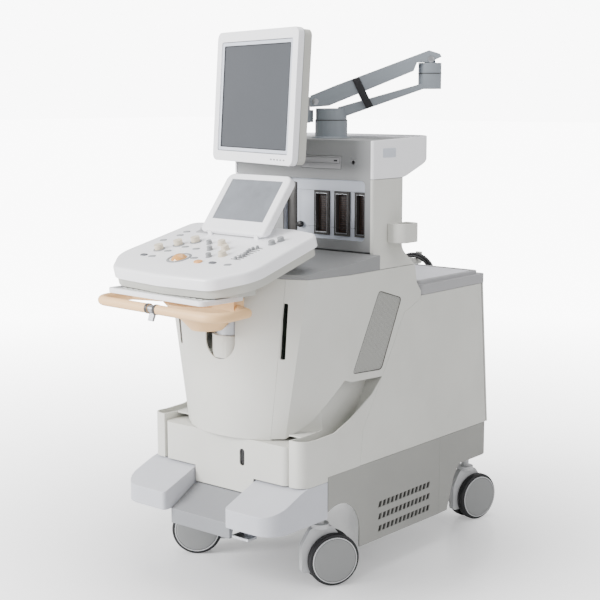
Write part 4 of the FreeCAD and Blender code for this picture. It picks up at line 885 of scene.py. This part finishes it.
class TowerTrimOperator(Operator):
    """Probe bay, receptacle contacts, drive button and edge strips of the tower."""

    bl_idname = "scanner.tower"
    bl_label = "Tower trim"

    def execute(self, context):
        bay = front_plane(low("receptacle_panel")[1])
        sockets = [(36.0, 91.0), (110.0, 165.0), (184.0, 226.0)]
        y0 = low("probe_sockets")[1]
        inner = front_plane(y0 + 22.0 * MM)
        for index, (x0, x1) in enumerate(sockets):
            middle = (x0 + x1) / 2.0
            outline = moved(rounded_outline(x1 - x0 - 17.0, 108.0, 2.0), middle, 1028.0)
            name = "contact_block_%d" % (index + 1)
            dress(plate(name, inner, outline, -2.0, 9.0), "contact", "cart")
            pins = np.stack([np.full(16, middle), np.linspace(980.0, 1076.0, 16)], axis=1)
            lifted = Plane(inner.at(0.0, 0.0, 9.0), inner.right, inner.out)
            dress(caps("contact_rows_%d" % (index + 1), lifted, pins, x1 - x0 - 26.0, 2.6, 1.6, 0.9),
                  "black", "cart")
            rim = moved(rounded_outline(x1 - x0 - 14.0, 112.0, 2.0), middle, 1028.0)
            dress(band("socket_rim_%d" % (index + 1), front_plane(y0 + 1.0 * MM), rim, 2.4, 4.0), "steel",
                  "cart")
        strip = moved(rounded_outline(34.0, 150.0, 4.0), -50.0, 1038.0)
        floor = front_plane(low("receptacle_panel")[1] + 14.0 * MM)
        dress(plate("bay_strip", floor, strip, -2.0, 3.0), "dark", "cart")
        knob = [(0.0, -1.0), (9.0, -1.0), (9.5, 6.0), (8.6, 9.0), (6.0, 10.0), (0.0, 10.0)]
        dress(lathe("bay_knob", floor.at(-16.0, 990.0, 2.0), floor.out, knob, 40), "black", "cart")
        dress(self.shelf_pad(), "pad", "cart")
        face = front_plane(low("tower_face")[1])
        tag = moved(rounded_outline(22.0, 26.0, 4.0), 188.0, 1176.0)
        dress(band("switch_rim", face, tag, 2.0, 1.6), "button_grey", "cart")
        button = front_plane(low("disc_tray")[1])
        dress(caps("drive_button", button, [(128.0, 1180.0)], 12.0, 4.0, 1.2, 1.6), "black", "tray_disc")
        side = flank_plane(high("rear_tray")[0])
        plate_at = moved(rounded_outline(62.0, 26.0, 4.0), 0.0, 1203.0)
        centre = -127.0 + LAYOUT_SHIFT
        dress(plate("side_plate", side, moved(plate_at, centre, 0.0), -0.4, 1.0), "bay", "cart")
        outline = moved(rounded_outline(236.0 - 14.0, 104.0, 6.0), 81.0, 1041.0)
        dress(band("bay_gasket", bay, outline, 1.6, 1.2), "dark", "cart")
        return {"FINISHED"}

    def shelf_pad(self):
        """Pale pad that lies in the shelf's dish."""
        top = high("rear_shelf")[2] / MM
        deck = Plane((0.0, 0.0, 0.0), (1.0, 0.0, 0.0), (0.0, 0.0, 1.0))
        outline = moved(rounded_outline(520.0, 284.0, 11.0), 0.0, 170.0 + LAYOUT_SHIFT)
        return plate("shelf_pad", deck, outline, top - 3.4, top - 1.2)


class MonitorOperator(Operator):
    """Display frame, a painted shadow line inside it, bezel seam, rear vents, screws and buttons of the
    monitor.
    """

    bl_idname = "scanner.monitor"
    bl_label = "Monitor"

    def execute(self, context):
        face = monitor_plane()
        border = rounded_outline(397.0, 303.0, 5.0)
        dress(band("display_frame", face, border, 17.0, 2.4, -4.6), "bay", "monitor")
        # Black band inside the frame: a painted shadow line along the display's inner edge.
        border = rounded_outline(383.0, 292.0, 4.0)
        dress(band("display_painted_shadow", face, border, 4.0, 2.0, -4.2), "black", "monitor")
        seam = rounded_outline(466.0, 373.0, 21.0)
        dress(band("bezel_seam", face, seam, 1.6, 1.4, -20.2), "button_grey", "monitor")
        keys = np.stack([np.linspace(120.0, 190.0, 5), np.full(5, -173.0)], axis=1)
        dress(caps("monitor_keys", face, keys, 9.0, 4.0, 0.8, 1.8), "button_grey", "monitor")
        back = Plane(face.at(0.0, 0.0, -64.0), -face.right, -face.out)
        x, y = np.meshgrid(np.arange(-110.0, 111.0, 11.0), [95.0, 107.0], indexing="ij")
        vents = np.stack([x.ravel(), y.ravel()], axis=1)
        dress(caps("monitor_vents", back, vents, 4.0, 9.0, 0.5, 1.9), "dark", "monitor")
        spots = [(-150.0, -110.0), (150.0, -110.0), (-150.0, 110.0), (150.0, 110.0)]
        dress(caps("monitor_screws", back, spots, 8.0, 8.0, 1.0, 3.9), "steel", "monitor")
        return {"FINISHED"}


class ArmOperator(Operator):
    """Strap round the folded arms, pin caps, post foot and the arm's seam rings."""

    bl_idname = "scanner.arm"
    bl_label = "Monitor arm"

    def execute(self, context):
        elbow = joint_place("elbow_swivel")
        post = joint_place("arm_swivel")
        along = elbow - post
        along[2] = 0.0
        along = along / np.linalg.norm(along)
        across = joint_axis("arm_tilt")
        self.strap(post, along, across)
        pin = joint_place("arm_tilt")
        cap = [(0.0, 3.0), (6.0, 2.8), (9.5, 1.6), (10.5, -1.0), (0.0, -1.0)]
        for side in (-1, 1):
            tag = "front" if side < 0 else "rear"
            dress(lathe("elbow_cap_" + tag, pin + across * side * 32.0 * MM, across * side, cap, 36),
                  "steel", "arm_b")
            end = joint_place("neck_level") + across * side * 32.0 * MM
            dress(lathe("neck_cap_" + tag, end, across * side, cap, 36), "steel", "arm_b")
        ring = [(34.2, -1.2), (35.0, -1.2), (35.2, 0.0), (35.0, 1.2), (34.2, 1.2), (34.2, -1.2)]
        dress(lathe("elbow_seam", (elbow[0], elbow[1], 1.4265), (0, 0, 1), ring, 60), "dark", "arm_a")
        ring = [(47.6, -1.2), (48.6, -1.0), (48.8, 0.0), (48.6, 1.0), (47.6, 1.2), (47.6, -1.2)]
        dress(lathe("post_seam", (post[0], post[1], 1.2904), (0, 0, 1), ring, 72), "dark", "cart")
        foot = [(47.0, 0.2), (58.0, 0.2), (59.0, 1.0), (57.5, 3.4), (49.5, 5.0), (47.0, 5.0), (47.0, 0.2)]
        dress(lathe("post_foot", (post[0], post[1], high("tower_back")[2]), (0, 0, 1), foot, 72), "arm",
              "cart")
        return {"FINISHED"}

    def strap(self, post, along, across):
        """Webbing loop: a rounded rectangle in the arms' cross-section, sheared along the arms."""
        box_low, box_high = low("arm_strap"), high("arm_strap")
        bottom, top = box_low[2] + 3.0 * MM, box_high[2] - 3.0 * MM
        outline = rounded_outline(69.5, (top - bottom) / MM - 10.0, 3.0, 4)
        middle = (top + bottom) / 2.0
        start = post + along * 91.0 * MM
        start[2] = middle
        shares = np.linspace(-1.0, 1.0, 9)
        puff = 0.35 * (1.0 - shares ** 2)
        rows = []
        for share, bulge in zip(shares, puff):
            height = outline[:, 1]
            slide = share * 10.0 - height * 0.5
            rise = height + share * 3.6
            grown = outline[:, 0] * (1.0 + bulge / 35.0)
            rows.append(start + (across * grown[:, None] + along * slide[:, None]) * MM
                        + np.array([0.0, 0.0, 1.0]) * rise[:, None] * MM)
        piece = surface("transport_strap", np.stack(rows), wrap_columns=True, smooth=True)
        thick = piece.modifiers.new("Webbing", "SOLIDIFY")
        thick.thickness = 1.4 * MM
        thick.offset = 0.0
        dress(piece, "strap", "arm_a")
        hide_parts("arm_strap")
        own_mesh(piece)


class ScannerPanel(Panel):
    """Lists the scanner's pieces in the sidebar."""

    bl_idname = "VIEW3D_PT_scanner"
    bl_label = "Ultrasound scanner"
    bl_space_type = "VIEW_3D"
    bl_region_type = "UI"
    bl_category = "Scanner"

    def draw(self, context):
        layout = self.layout
        for group in (context.scene.scanner_sizes, context.scene.scanner_colours):
            for name in group.__annotations__:
                layout.prop(group, name)
        for operator in OPERATORS:
            layout.operator(operator.bl_idname)


OPERATORS = (
    BodyFinishOperator, StudioOperator, CordOperator, WheelOperator, PanelControlsOperator,
    ConsoleTrimOperator,
    ColumnTrimOperator, FlankTrimOperator, TowerTrimOperator, MonitorOperator, ArmOperator,
)
CLASSES = (ScannerSizes, ScannerColours) + OPERATORS + (ScannerPanel,)


def register():
    for each in CLASSES:
        bpy.utils.register_class(each)
    bpy.types.Scene.scanner_sizes = PointerProperty(type=ScannerSizes)
    bpy.types.Scene.scanner_colours = PointerProperty(type=ScannerColours)


def unregister():
    del bpy.types.Scene.scanner_colours
    del bpy.types.Scene.scanner_sizes
    for each in reversed(CLASSES):
        bpy.utils.unregister_class(each)


def main():
    """Builds every piece in order."""
    register()
    for operator in OPERATORS:
        family, name = operator.bl_idname.split(".")
        getattr(getattr(bpy.ops, family), name)()


if __name__ == "__main__":
    main()
